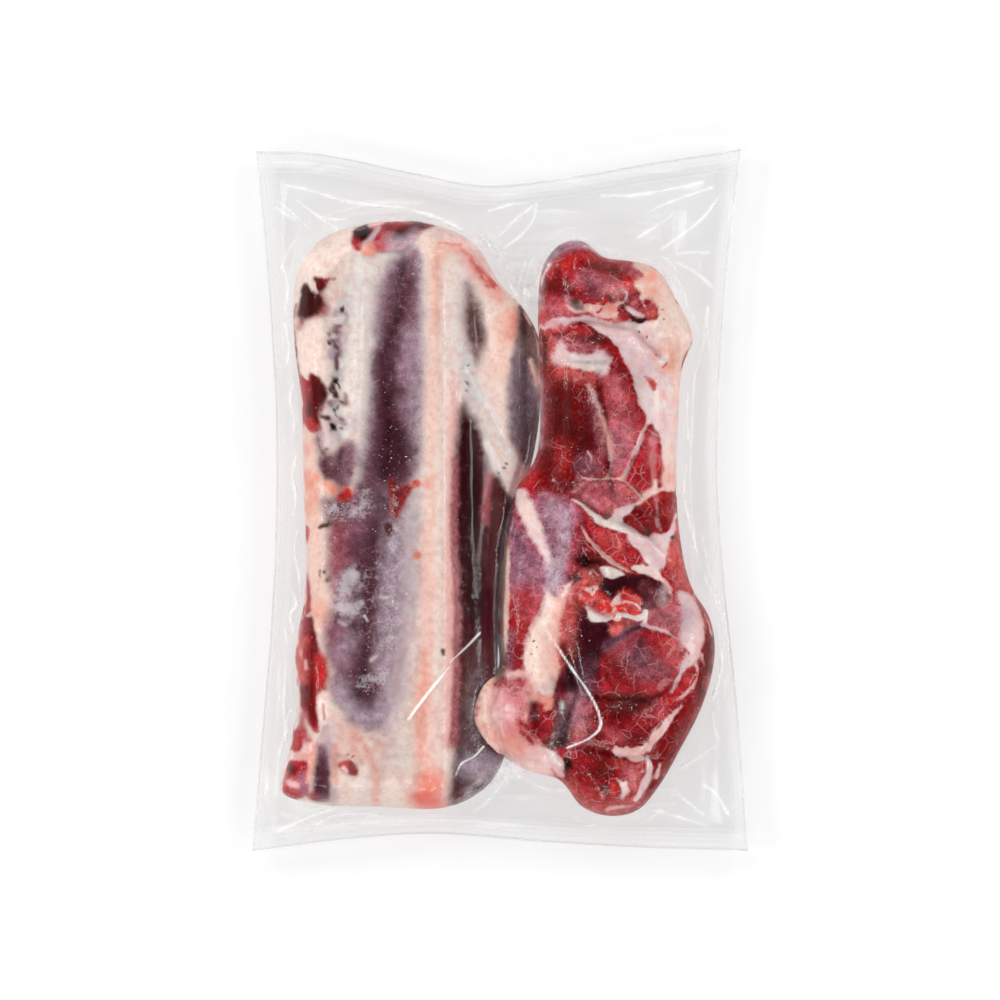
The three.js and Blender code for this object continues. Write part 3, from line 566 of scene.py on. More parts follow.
BONED_PAINT = [
    # The pale fat of the right border and the fascia beside it.
    ("fat", "fascia", 2, [(58, 88), (66, 88), (78, 90), (90, 86), (92, 66), (90, 40), (90, 8), (84, 2), (80,
        10), (80, 24), (77, 36), (72, 40), (68, 50), (64, 62), (60, 72), (56, 80)]),
    ("fat", "peach", 3, [(66, 119), (78, 116), (89, 100), (97, 81), (92, 66), (90, 40), (90, 10), (84, 14),
        (84, 40), (85, 58), (80, 74), (76, 88), (77, 96), (72, 104)]),
    ("fat", "cream", 4, [(86, 94, 4), (90, 80, 3), (78, 84, 4)], 0.8),
    ("fat", "salmon", 3.5, [(84, 80, 1), (83, 74, 2.4), (82, 67, 2.2), (83.5, 62, 1)], 0.75),
    ("lean", "rouge", 1, [(82, 68, 0.9), (81, 66, 0.5)], 0.7),
    ("fat", "salmon", 3, [(86, 48, 1.2), (86, 43, 1.2)], 0.6),
    ("lean", "rouge", 0.8, [(85.3, 44, 0.5), (85, 42, 0.5)]),
    ("fat", "salmon", 3, [(84, 16, 2), (85, 8, 3)], 0.6),
    ("fat", "lilac", 5, [(65, 76, 2), (74, 68, 2), (70, 60, 2)], 0.3),
    ("fat", "bone", 3, [(66, 84, 1.5), (76, 82, 2.4), (84, 78, 2)], 0.5),
    ("fat", "bone", 3, [(69, 57, 1), (73, 47, 1.6), (79, 41, 1.6), (83, 30, 1.6), (85, 16, 1)], 0.6),
    *crumbs("fat", ("rosy", "fascia", "bone"), [(60, 84, 4), (74, 72, 6), (80, 50, 4), (85, 26, 3)], 40, 1.3,
        1.6, 26),
    ("lean", "rouge", 1.2, [(71, 61.5), (73.5, 60.5), (76.5, 59), (77, 55), (75.5, 53.5), (73.5, 57)]),
    # The head.
    ("lean", "heather", 1.5, [(16, 108), (19, 114), (22, 121), (27, 126.5), (31, 129.5), (40, 130), (46, 127),
        (47, 123), (36, 121), (27, 116), (22, 109)]),
    ("tint", "fascia", 3, [(42, 128, 2), (48, 124.5, 1.2)], 0.6),
    ("fat", "fascia", 1.5, [(18, 104, 1.5), (20, 111, 1.3), (25, 116.5, 0.8)], 0.7),
    ("lean", "maroon", 1, [(24, 122, 0.7), (27, 125.8, 0.6), (30, 127.8, 0.4)], 0.8),
    ("lean", "maroon", 0.8, [(22, 116, 0.9), (19.5, 113.5, 0.6)], 0.8),
    ("lean", "crimson", 1.2, [(21, 92), (20, 100), (22, 108), (26, 114.5), (32, 119.5), (40, 123), (47,
        122.5), (52, 117.5), (57, 114.5), (62, 113), (66, 110), (68, 106), (66, 101), (60, 98), (50, 96), (42,
        94), (34, 91), (27, 89)]),
    ("lean", "garnet", 1.5, [(29, 115, 2), (36, 119, 2.6), (43, 119, 3.2), (50, 116, 2.6), (57, 112, 2), (62,
        110, 1.4)]),
    ("tint", "scarlet", 2, [(31, 116, 2.4), (37, 118.5, 3), (43, 120.5, 2), (50, 117, 1.4)], 0.9),
    ("lean", "deep", 2, [(44, 115.5, 2), (49, 115, 1.4)], 0.8),
    ("lean", "deep", 1.5, [(57, 111.5, 1.6), (61, 110.5, 1.2)], 0.8),
    ("lean", "scarlet", 1.8, [(63, 109, 2), (66, 107, 1.4)], 0.8),
    ("lean", "deep", 2, [(23, 106, 2), (29, 106, 3.4), (34, 103, 2.4)], 0.85),
    ("lean", "garnet", 2, [(22, 98, 1.8), (21, 101, 1)], 0.7),
    ("lean", "rose", 3, [(26, 94, 3), (34, 94, 2.6), (42, 92, 1.5)], 0.8),
    ("lean", "rose", 2, [(39, 108, 2), (50, 108, 3), (57, 104, 3), (52, 100, 2)], 0.7),
    ("lean", "heather", 3, [(42, 110, 1.2), (47, 105, 4)], 0.45),
    ("tint", "crimson", 2.5, [(37, 116.5, 2.4), (44, 117.5, 1.6)], 0.6),
    ("lean", "maroon", 2.5, [(46, 104, 2.4)], 0.5),
    ("tint", "rosy", 3, [(54, 101, 2), (60, 103, 2)], 0.35),
    ("lean", "ink", 0.7, [(52, 99.6, 0.3), (53.5, 99.2, 0.5)], 0.8),
    ("lean", "taupe", 1, [(36, 96.5, 1), (39, 95.5, 1.2)]),
    ("lean", "ink", 0.7, [(37, 98.3, 0.6)], 0.7),
    ("fat", "rosy", 0.9, [(33, 96, 0.5), (36, 93.8, 0.6), (42, 93, 0.5)], 0.8),
    # The crumbly seam under the head, and its right lobe.
    ("fat", "salmon", 1.2, [(43, 95.5, 1.2), (48, 93, 2.2), (54, 90.5, 2.4), (58, 90, 1.4)]),
    ("fat", "rosy", 1.2, [(50, 96.5, 1.2), (55, 95, 2), (60, 97, 1.6)]),
    ("fat", "fascia", 1, [(44, 95.5, 0.6), (49, 94, 0.7), (51, 92, 0.6)]),
    ("lean", "scarlet", 1, [(48, 93.3, 0.9), (51.5, 97, 1.2)]),
    ("lean", "crimson", 1.2, [(60, 95, 1.4), (58, 92, 2), (62, 90.5, 1.8)]),
    ("lean", "deep", 1.2, [(60, 95.5, 1)], 0.8),
    ("lean", "scarlet", 1.2, [(54, 88, 1), (49, 90, 0.8)], 0.8),
    ("tint", "rouge", 2, [(58, 90, 1.8)], 0.6),
    *crumbs("fat", ("salmon", "rosy"), [(43, 95, 1.4), (51, 93, 2.6), (61, 92, 2)], 14, 0.9, 0.9, 24),
    ("fat", "fascia", 0.8, [(61, 104, 0.5), (63, 102, 0.6), (62, 99, 0.6)]),
    ("lean", "garnet", 1.5, [(63, 97), (65, 101), (70, 101.5), (73.5, 97), (77, 94), (77.5, 90), (72, 88.5),
        (67, 89.5), (63, 92)]),
    ("lean", "rose", 2, [(66, 95, 2.4), (67, 99, 1.4)], 0.7),
    ("lean", "garnet", 2, [(69, 96.5, 1.6)], 0.8),
    ("lean", "rouge", 1.5, [(74, 93, 2), (75, 90.5, 1.4)], 0.9),
    ("fat", "fascia", 1.4, [(63, 95, 1), (66, 92, 1.4), (70, 91, 0.8)], 0.8),
    ("lean", "ink", 0.7, [(66, 89, 0.5), (69, 88, 0.6), (71, 88.8, 0.4)], 0.8),
    ("lean", "rose", 1.5, [(62, 115, 0.8), (66, 113, 1.4), (69, 111, 1)], 0.8),
    ("lean", "garnet", 0.8, [(62.5, 114.3, 0.6)], 0.8),
    ("fat", "salmon", 1.2, [(76, 114, 0.4), (76, 110.5, 0.8), (72, 109, 0.8)], 0.8),
    ("fat", "peach", 2, [(68, 107, 1.4), (72, 103, 2), (70, 99.5, 1)], 0.9),
    ("fat", "salmon", 1.5, [(73, 103, 0.6), (76, 103, 0.5)], 0.6),
    ("lean", "rouge", 0.8, [(80.3, 94.3, 0.5)]),
    ("lean", "rouge", 0.8, [(80.8, 89.3, 0.4)]),
    ("lean", "rouge", 0.8, [(72.5, 80.5, 0.7)]),
    ("lean", "umber", 0.7, [(68.5, 83.3, 0.4)]),
    ("lean", "rouge", 0.8, [(77.5, 72, 0.6)]),
    # The white band and the dark oval.
    ("fat", "fascia", 1.5, [(21, 84, 1.6), (25, 87, 2), (31, 88.5, 1.8), (39, 89.5, 1.2), (46, 88, 2.2), (53,
        84, 3.4), (60, 80, 4), (64, 70, 3.4)]),
    ("tint", "pink", 3, [(23, 88, 1.4), (30, 86, 1.6)], 0.6),
    ("lean", "garnet", 1.2, [(27.5, 79), (31, 82), (34.5, 84), (38, 86.5), (42, 85.5), (46.5, 83.5), (50.5,
        81), (54.5, 79), (57.5, 76), (57.5, 72), (52, 73), (47.5, 73.5), (43, 71.5), (38, 72), (34, 75), (31,
        77.5)]),
    ("lean", "deep", 2.5, [(41, 77, 3.6), (47, 79, 3)], 0.8),
    ("lean", "blood", 2, [(46, 79.5, 2), (37, 78, 1.4)], 0.7),
    ("lean", "crimson", 1.8, [(38, 84.5, 1.6), (43, 83.5, 1.2)], 0.8),
    ("lean", "deep", 1, [(30, 80, 1.8)], 0.8),
    ("lean", "rose", 3, [(24, 70, 2), (30, 76, 3), (44, 70, 5)], 0.8),
    ("lean", "rouge", 1.5, [(22, 82, 1), (24.5, 76, 1.4), (24, 69, 1.6)], 0.9),
    ("lean", "ink", 1.5, [(21.5, 80, 0.8), (21.3, 72, 1.1), (21, 66, 0.9)], 0.85),
    # The long deep red muscle and the lighter one beside it.
    ("lean", "crimson", 1.4, [(53, 75), (57, 76), (59, 70), (61, 65), (64, 60), (66, 53), (68, 47), (71, 41),
        (70, 36), (67, 29), (65, 22), (62, 14), (58, 10.5), (55, 13), (50, 14), (50, 60), (51, 68)]),
    ("lean", "garnet", 2, [(56, 72, 1.8), (57, 66, 2.6), (61, 60, 2.6), (63, 55, 2)], 0.8),
    ("lean", "rose", 3, [(55, 58, 3), (58, 48, 4.4), (61, 38, 5), (60, 26, 5), (58, 17, 3.4)], 0.85),
    ("tint", "heather", 4, [(57, 33, 2.4), (61, 24, 2.4), (57, 18, 2)], 0.55),
    ("lean", "garnet", 3, [(62, 46, 2), (66, 42, 2), (52, 50, 1.4)], 0.5),
    ("lean", "garnet", 1.4, [(21.5, 61), (24, 65), (29, 66), (34, 64.5), (38, 62.5), (44, 61), (47, 57), (49,
        50), (51, 42), (52, 32), (52.5, 24), (53.5, 15), (46, 12), (40, 10), (37, 5), (34, 0), (27, 2), (21,
        1), (19.5, 14), (20, 35)]),
    ("fat", "fascia", 3, [(27, 67), (26, 71), (27.5, 75.5), (30, 78), (32.5, 76), (34, 72.8), (38, 72), (43,
        70.5), (47, 72.5), (51, 73.8), (54, 69.5), (53, 63), (49, 61), (44, 63.8), (39, 64.3), (34, 65.5),
        (30, 66)]),
    ("fat", "bone", 3, [(35, 69.5, 0.6), (42, 67.5, 1.6), (48.5, 67.5, 2.4)], 0.9),
    ("tint", "rosy", 2, [(26, 70, 1.4), (31, 67, 0.8)], 0.6),
    ("lean", "deep", 4, [(29, 56, 3), (31, 44, 6), (34, 34, 6), (38, 26, 5), (38, 16, 3)], 0.9),
    ("tint", "blood", 4, [(33, 44, 2.4), (37, 32, 3)], 0.4),
    ("lean", "deep", 3, [(25, 50, 2), (34, 54, 3), (24, 16, 3), (34, 8, 3)], 0.7),
    ("lean", "rouge", 2, [(29, 64, 1.2), (36, 62, 1.4), (44, 60, 1.6)], 0.75),
    ("tint", "maroon", 4, [(46, 46, 2.4), (46, 34, 3.4), (46, 22, 3)], 0.6),
    ("tint", "rose", 3, [(46, 20, 2.4), (45, 15, 2.4)], 0.4),
    ("tint", "scarlet", 3.5, [(30, 27, 2), (31, 21, 2.6), (30, 16, 1.4)], 0.6),
    ("tint", "rose", 2, [(22, 58, 0.8), (22.5, 44, 1.2), (21.5, 28, 1.4)], 0.5),
    ("fat", "fascia", 0.9, [(43, 23.5, 0.5), (45, 20, 0.4), (44, 16, 0.6)], 0.7),
    ("tint", "pink", 2.5, [(46, 50, 1.2), (49.5, 36, 1.8), (52, 24, 1.6)], 0.5),
    ("fat", "rosy", 2.8, [(43, 57, 0.6), (48.6, 45, 1.2), (52.4, 34.7, 1.8), (54.5, 25, 1.6), (54.3, 12,
        0.4)], 0.6),
    ("tint", "salmon", 1.5, [(51, 40, 0.5), (53.4, 31, 1), (54.5, 25, 0.8)], 0.7),
    ("lean", "heather", 3, [(41, 17, 2.4), (46, 15, 2.4)], 0.5),
    ("fat", "fascia", 1.4, [(73, 38.5, 1), (69.5, 30, 1.5), (66.5, 22, 1.6), (63.5, 15, 1.4), (61, 10.5, 1)],
        0.9),
    ("tint", "pink", 1, [(70.6, 33, 0.4), (66, 21, 0.5), (63, 14, 0.4)], 0.6),
    ("lean", "rose", 1, [(64, 17, 0.5), (66, 21, 0.4)], 0.6),
    ("lean", "garnet", 0.8, [(53.3, 18, 0.4), (53.5, 14, 0.4)], 0.8),
    # The right lobes.
    ("lean", "crimson", 1.4, [(73, 37), (77, 33.5), (79, 25), (80.5, 15), (78, 10.5), (75, 10), (74.5, 6),
        (71, 3.5), (67.5, 7), (64.5, 12), (66, 18), (70, 26), (71.5, 33)]),
    ("tint", "rose", 3, [(73, 30, 2), (75, 22, 2.4)], 0.5),
    ("tint", "garnet", 3, [(69, 13, 3.4)], 0.55),
    ("tint", "scarlet", 2, [(78.5, 15, 1.4)], 0.5),
    ("fat", "rosy", 1.4, [(77, 9, 1), (75, 5, 1), (71, 2, 0.8)], 0.8),
    # The curved sinew and the round muscle under it.
    ("lean", "rose", 1.4, [(37.5, 3), (41, 8), (47, 9), (55, 9), (62, 8), (66, 5), (69, 1), (64, -2),
        (56, -2.5), (50, -3.5), (45, -3), (40, -0.5)]),
    ("tint", "garnet", 3, [(46, 5, 2.4), (53, 5, 2.4)], 0.6),
    ("tint", "rouge", 2.5, [(63, 5, 2), (66, 2.5, 1.4)], 0.8),
    ("fat", "rosy", 0.9, [(40, 11.5, 0.4), (47, 9.8, 0.4), (54, 10.8, 0.5), (60, 10.2, 0.5), (65, 7.2, 0.4),
        (69, 2, 0.4)]),
    ("tint", "heather", 3, [(42, -3, 2), (46, -6, 2)], 0.4),
    ("fat", "fascia", 1.2, [(56, -8), (57, -4.5), (62, -2.5), (67, -1), (70, 0.5), (66, -5), (63, -8.5),
        (60, -11), (52, -11.5)]),
    ("lean", "taupe", 1, [(54, -6, 0.6), (52, -9, 0.8)], 0.7),
    ("lean", "taupe", 1.2, [(67.5, -4, 1.2)], 0.8),
    ("lean", "crimson", 1.2, [(34, 2, 0.4), (38, -3, 1), (42, -8, 1.5), (46, -14, 1.5)]),
    ("fat", "bone", 1, [(35.5, 0.5, 0.4), (39, -1.5, 0.8), (43, -4.5, 1.2), (48, -9, 1.6)]),
    ("lean", "garnet", 0.8, [(46.5, -10.5, 0.3), (47.5, -12.5, 0.4)], 0.8),
    ("fat", "bone", 1.2, [(48, -10, 1.4), (54, -12, 2), (60, -14, 2.2), (68, -18, 1.4)]),
    # The red lobe at the right, and the pale fat under it.
    ("fat", "fascia", 2.4, [(64, -16), (72, -18), (80, -16), (87, -10), (89, -16), (83, -26), (80, -34),
        (76, -36), (70, -33.5), (68, -26), (63, -20)]),
    ("lean", "garnet", 1.2, [(61, -9), (66, -6), (70, -2.5), (76, 2), (84, 4.5), (88.5, 3), (87.5, -3),
        (86, -10), (82, -16), (76, -15.5), (70, -13), (65, -11)]),
    ("tint", "scarlet", 2, [(72, -1.5, 1.2), (80, 2.2, 1.8), (86, 2, 1.4)], 0.7),
    ("tint", "deep", 3, [(74, -9, 2.4), (69, -8, 1.4)], 0.6),
    ("tint", "rouge", 2, [(82, -5, 1.6), (85, -8, 1.4)], 0.5),
    ("lean", "umber", 1, [(73, -16.5, 1.4)], 0.85),
    ("fat", "peach", 1.2, [(70, 1, 0.6), (78, 4.5, 0.8), (86, 6, 0.8)], 0.8),
    ("lean", "rouge", 2, [(90, -4, 0.8), (88.5, -16, 1.8), (87.5, -25, 3.6), (89, -34, 4), (91, -42, 2.4)],
        0.85),
    ("tint", "crimson", 3, [(84.5, -25, 1.2), (85, -18, 1)], 0.5),
    ("fat", "fascia", 1, [(87, -8, 0.4), (84.5, -16, 0.7), (82, -24, 0.7), (80.5, -32, 0.6)]),
    ("lean", "umber", 0.7, [(85.5, -18.5, 0.6)]),
    # The leaf-shaped muscle between two sinews.
    ("lean", "crimson", 1.2, [(39, -6), (43, -11), (47, -14.5), (56, -15.5), (61, -18), (64.5, -22),
        (69, -26.5), (69.5, -30), (67, -34), (60, -32), (54, -29), (48, -23), (44, -17)]),
    ("tint", "rouge", 2.5, [(50, -18, 2), (56, -21, 2.4), (60, -24, 2)], 0.7),
    ("tint", "garnet", 2, [(63.5, -27, 2.4), (66.5, -29, 1.4)], 0.6),
    ("lean", "garnet", 1.2, [(38.5, -14), (41, -18), (46, -25), (52, -29.5), (58, -34), (50, -34),
        (43, -33.5), (38.5, -30)]),
    # Painted shade: the dark in the deep pit below the muscle's left end, and beside it.
    ("lean", "ink", 1.8, [(38.6, -22, 0.6), (39.5, -28, 1.6), (42, -31.5, 2), (48, -31.5, 1.6)], 0.85),
    ("lean", "ink", 1.2, [(36.5, -38.5, 2)], 0.9),
    ("fat", "rosy", 1, [(40, -12, 0.4), (43, -18, 0.7), (48, -24.5, 0.8), (54, -29.5, 0.9), (60, -33, 0.9),
        (68, -35, 1), (76, -37, 1.2), (81, -40, 1), (84, -45, 0.9), (84.5, -51, 0.9), (81, -54, 0.6)]),
    ("fat", "cream", 0.9, [(67, -33, 1), (72, -34.5, 1.3), (78, -36.5, 1)]),
    ("lean", "scarlet", 0.8, [(58, -30.5, 0.3), (63, -33, 0.5), (68, -35.5, 0.3)], 0.7),
    ("lean", "crimson", 1, [(70, -30.5, 0.5), (73.5, -31.8, 0.4)], 0.8),
    # The dark recess with its crumbs of fat and lean: dark lean, and painted shade between the crumbs.
    ("lean", "maroon", 1.6, [(48, -39), (56, -38.5), (66, -37.5), (75, -38.5), (80, -42), (82, -48),
        (79, -54), (72, -54), (66, -49), (60, -46), (55, -49), (51, -47)]),
    # Painted shade between the crumbs.
    ("lean", "ink", 3, [(52, -43, 2.4), (58, -43.5, 1.4)], 0.6),
    ("tint", "rose", 3, [(76, -49, 2.6), (72, -43, 1.4)], 0.45),
    ("tint", "fascia", 2.5, [(81, -45, 1.6), (80, -51, 1.6)], 0.6),
    ("fat", "bone", 1, [(48.5, -34.2), (53, -33), (58, -34.5), (62, -36.8), (57, -38), (52, -38.3)]),
    ("lean", "rose", 1.8, [(74, -60), (74, -56), (80, -54.5), (86, -53), (90, -57), (88, -64), (80, -62.5)]),
    ("tint", "plum", 2.5, [(83, -58, 2.4), (87, -60, 1.4)], 0.7),
    ("lean", "maroon", 3, [(29, -74), (30, -62), (34, -54), (40, -50), (46, -58), (54, -62), (58, -68),
        (52, -76), (48, -86), (44, -96), (38, -100), (32, -96), (30, -86)]),
    ("lean", "rouge", 5, [(30, -50, 3), (30, -62, 2.4), (28, -72, 1.4)], 0.8),
    ("tint", "crimson", 4, [(35, -48, 3), (34, -60, 3)], 0.6),
    # Painted shade along the groove that runs down to the pocket.
    ("tint", "dusk", 4, [(42, -64, 3.4), (36, -74, 3), (44, -76, 3)], 0.3),
    ("tint", "plum", 4, [(42, -88, 2.6), (46, -80, 2)], 0.4),
    ("fat", "rosy", 1, [(37.5, -35, 0.6), (40, -38.5, 0.6)]),
    ("lean", "rouge", 0.9, [(42, -37.5, 2.4), (46.5, -36, 2.2), (47, -40, 1.8)]),
    ("fat", "fascia", 0.7, [(44, -36.5, 0.5), (46, -34.3, 0.6), (48.3, -37, 0.5)]),
    ("fat", "rosy", 0.9, [(43, -44, 1.4), (47, -43.5, 1.2), (45, -46, 1)]),
    ("lean", "taupe", 0.7, [(45.5, -43.8, 0.5)]),
    ("lean", "scarlet", 0.9, [(42.5, -49.5, 2.4)], 0.9),
    ("lean", "scarlet", 0.9, [(47.5, -47, 2), (52, -52, 3.2)]),
    ("tint", "rouge", 1.5, [(43, -48.5, 1.2), (50, -49, 1)], 0.6),
    ("fat", "bone", 1, [(43.5, -54.5, 1.2), (45.5, -57, 2.4), (50, -58.5, 1.8), (54, -58, 1.6)]),
    ("tint", "pink", 1.5, [(44, -54, 0.8), (50, -56.5, 0.8), (55, -57, 0.6)], 0.75),
    ("fat", "fascia", 1, [(55.5, -51, 1.2), (58, -48.5, 1.6), (59.5, -46.5, 0.8)]),
    ("fat", "rosy", 1, [(56.5, -54, 1), (58, -59, 1.6)]),
    ("lean", "scarlet", 0.9, [(60.5, -46.5, 1.2), (64.5, -48, 1.8), (68, -50.5, 1)], 0.9),
    ("lean", "scarlet", 0.9, [(60, -53, 1.6), (64, -54, 2.2), (67, -55.5, 1.2)], 0.9),
    ("tint", "rouge", 1.5, [(62, -52.5, 1), (65, -53, 1)], 0.6),
    ("fat", "rosy", 0.8, [(58, -51, 0.6), (62, -50, 0.5), (67, -51.8, 0.5), (69, -54, 0.7)]),
    ("fat", "bone", 0.9, [(60, -57, 1), (65, -58, 1), (69.5, -58, 1.4), (72.5, -55, 1), (71, -61, 0.8)]),
    ("lean", "rouge", 1, [(57, -63.5, 2.2), (62, -61, 2), (60, -66, 1)], 0.9),
    ("lean", "scarlet", 0.8, [(57, -55, 0.4), (57, -57, 0.4)], 0.8),
    # The big round muscle and the fat at its right.
    ("lean", "crimson", 1.6, [(52, -88), (51, -80), (54, -74), (60, -69), (66, -65), (72, -63), (80, -66),
        (87, -69), (91, -76), (89, -83), (85, -90), (78, -95), (68, -97), (58, -94)]),
    ("lean", "mauve", 4, [(80, -84, 4), (72, -82, 6), (62, -76, 4)], 0.6),
    ("lean", "rouge", 3, [(84, -72, 3), (86, -77, 2)], 0.7),
    ("tint", "grape", 4, [(68, -70, 3), (69, -77, 4)], 0.85),
    ("tint", "deep", 4, [(58, -82, 3.6), (60, -89, 3)], 0.7),
    ("tint", "ink", 3, [(57, -84, 1.8)], 0.4),
    ("lean", "plum", 1.4, [(53, -73, 0.6), (58, -68.5, 0.8), (64, -64.5, 0.9), (69, -62, 0.5)], 0.9),
    ("fat", "fascia", 1, [(70, -61.5, 0.7), (76, -62.8, 0.9), (83, -65, 0.8), (88, -69, 0.8)], 0.9),
    ("lean", "rose", 3, [(88, -50, 3), (88, -62, 3), (91, -76, 3)], 0.7),
    ("fat", "fascia", 2.6, [(88, -46), (94, -47), (98, -53), (101, -62), (100.5, -70), (98, -78), (92, -84),
        (88.5, -83), (91.5, -76), (88.5, -69), (90, -62), (90, -54)]),
    ("tint", "lilac", 3, [(92, -55, 2), (92.5, -62, 2.4)], 0.8),
    ("tint", "rosy", 2, [(97, -50, 1), (100, -60, 1.2), (99, -72, 1.4)], 0.7),
    ("lean", "crimson", 1, [(91, -73.5, 0.5), (93, -75, 0.4)], 0.6),
    ("fat", "fascia", 1.2, [(91, -82, 1), (88, -88, 1.4), (85, -94, 0.8)], 0.9),
    ("fat", "rosy", 1.2, [(97, -82, 0.8), (97, -88, 1), (92, -95, 1.2), (86, -100, 1)], 0.9),
    ("lean", "crimson", 1.2, [(92, -84), (96, -83), (96, -88), (91, -94), (87, -97), (87, -92)]),
    ("tint", "rouge", 2, [(92, -88, 1.8)], 0.5),
    ("lean", "garnet", 1.2, [(98, -46), (101, -52), (104, -60), (108, -70), (108, -80), (104, -92),
        (100, -99), (97, -95), (98.5, -86), (100.5, -76), (102, -68), (101, -58)]),
    ("tint", "rouge", 2, [(99.5, -50, 0.8), (103, -62, 1.2)], 0.6),
    ("fat", "rosy", 1, [(102, -53, 0.4), (105, -63, 0.8), (106.5, -74, 0.7)], 0.7),
    ("fat", "rosy", 1, [(100, -76, 0.4), (102, -86, 0.8), (99, -97, 0.6)], 0.6),
    ("lean", "rouge", 1.5, [(105, -80, 0.8), (103.5, -92, 1)], 0.8),
    ("fat", "rosy", 1, [(95, -106, 0.6), (91, -115, 0.9), (86.5, -124, 0.6)], 0.6),
    ("lean", "deep", 1.5, [(104, -68, 0.8), (103, -80, 1), (97, -103, 1)], 0.7),
    ("tint", "deep", 2, [(104, -72, 1.8), (102, -84, 1.8)], 0.6),
    # The loin end.
    ("lean", "garnet", 2.4, [(46, -98), (56, -97), (70, -98), (82, -98), (90, -99), (98, -99), (98, -108),
        (93, -119), (86, -132), (76, -130), (62, -126), (48, -127), (36, -126), (40, -112)]),
    ("tint", "blood", 4, [(58, -104, 5), (70, -104, 6), (64, -112, 5)], 0.7),
    ("tint", "crimson", 3, [(54, -118, 3), (84, -101, 4)], 0.7),
    ("tint", "rose", 2.5, [(50, -112, 1.6), (60, -118, 1.6)], 0.5),
    ("tint", "rose", 3, [(78, -101, 2), (80, -107, 2)], 0.5),
    ("lean", "umber", 2, [(56, -95.5, 0.8), (62, -97.3, 1), (72, -97, 1), (77, -95.5, 0.6)], 0.45),
    ("lean", "garnet", 1.8, [(96, -104, 1.6), (92, -112, 2.6), (88, -120, 2.8), (84, -130, 2.4)]),
    ("tint", "rouge", 1.5, [(97.5, -104, 0.6), (94.5, -113, 0.6), (89, -124, 0.6)], 0.6),
    ("fat", "fascia", 1, [(90, -102, 0.4), (86, -106, 1), (82, -111, 1.5), (78, -116, 1.5), (74, -121, 1.6),
        (69, -123.5, 1.6)]),
    ("fat", "fascia", 1, [(76.3, -113, 0.6), (75.5, -119, 1.2)]),
    ("fat", "fascia", 1, [(68, -123, 1.3), (64, -126.5, 1.4), (70, -127.5, 1.6)]),
    ("fat", "rosy", 1, [(58, -123, 0.9), (57, -125.5, 0.6)], 0.9),
    *crumbs("fat", ("rosy", "fascia"), [(57, -124, 1.5), (66, -126, 3), (74, -121, 3), (84, -108, 2)], 28,
        1.1, 0.9, 21),
    ("lean", "rose", 3.5, [(38, -100, 2.4), (40, -110, 3), (38, -118, 2.4)], 0.8),
    ("tint", "lilac", 4, [(37, -100, 1.8), (36, -108, 1.4)], 0.6),
    ("tint", "salmon", 3, [(38, -113, 1.8)], 0.4),
    ("tint", "plum", 3, [(42, -97, 2), (46, -92, 1.4)], 0.5),
    # The tip.
    ("lean", "garnet", 2, [(34, -126), (44, -128), (56, -128), (66, -130), (72, -132), (80, -136), (76, -146),
        (68, -155), (54, -158), (41, -154), (31, -141)]),
    ("tint", "deep", 4, [(42, -134, 4), (50, -136, 4)], 0.6),
    ("tint", "scarlet", 3, [(58, -131, 2), (66, -134, 2), (68, -142, 2)], 0.5),
    ("tint", "rouge", 2.5, [(34, -141, 1.4), (41, -150, 2), (50, -154.5, 2), (62, -155, 1.6)], 0.7),
    ("lean", "rouge", 3, [(66, -137, 2), (68, -146, 2.4), (64, -150, 2)], 0.7),
    ("tint", "pink", 3, [(64, -134, 2.4), (66, -140, 1.6)], 0.5),
    ("fat", "fascia", 1.2, [(58, -137.5), (60, -139), (63, -138), (62.6, -141), (63.6, -143.5),
        (61.6, -145.5), (61, -148), (58, -149), (55.5, -148), (58.4, -146.4), (59.6, -144), (58.6, -141)]),
    ("lean", "scarlet", 1, [(56.5, -142.5, 2.2)], 0.9),
    ("lean", "ink", 0.9, [(50.5, -142.8, 0.4), (52, -142.5, 0.9)], 0.9),
    ("fat", "rosy", 1, [(49.5, -146, 1.2), (51, -148, 1.6)], 0.9),
    ("lean", "rouge", 3, [(44, -147, 2), (53, -151, 3), (62, -151, 3)], 0.8),
    ("fat", "rosy", 1.2, [(53, -154, 1), (58, -152.5, 1.2), (64, -151.5, 0.6)], 0.6),
    ("lean", "crimson", 3, [(40, -128, 2), (38, -138, 3), (46, -148, 3)], 0.6),
    ("tint", "rose", 2.5, [(66, -152, 2), (70, -149, 1.4)], 0.5),
    ("fat", "fascia", 1.2, [(73, -127, 1), (73.5, -134, 1.6), (71, -142, 1.8), (68, -148, 1.4)]),
    ("lean", "crimson", 1, [(71, -129, 0.4), (70, -132, 0.5)], 0.7),
    ("fat", "rosy", 1, [(79, -131, 0.8), (77, -137, 1)], 0.9),
    # The strap of fat that runs on from the rib piece, and the flap's flank.
    ("lean", "heather", 3, [(20, 2), (26, 1), (33, -1), (37, -6), (38, -13), (36.5, -22), (36, -34),
        (32, -42), (24, -44), (22, -30), (20, -20), (18, -8)]),
    ("tint", "plum", 4, [(24.5, -12, 3), (25, -16, 2), (26, -3, 1.6)], 0.7),
    ("tint", "lilac", 3, [(32, -6, 1.6), (31, -26, 2.6), (27, -38, 2.4)], 0.6),
    ("lean", "crimson", 2, [(38.5, -14, 1), (37.5, -25, 1.2), (36, -36, 1.6)], 0.8),
    ("lean", "ink", 1.2, [(37, -38, 1.8)], 0.8),
    ("lean", "rouge", 4, [(35, -47, 3), (32.5, -56, 3), (31, -68, 2.6), (30, -80, 2)], 0.9),
    ("fat", "fascia", 2.6, [(10, 2, 4), (14, -8, 4), (18, -17, 3), (22, -25, 2.4), (25, -33, 1.8)]),
    ("fat", "cream", 3, [(13, -4, 2), (17, -14, 1.6)], 0.85),
    ("lean", "lilac", 3, [(25, -34, 1.8), (26, -41, 2.4), (24, -48, 2)], 0.9),
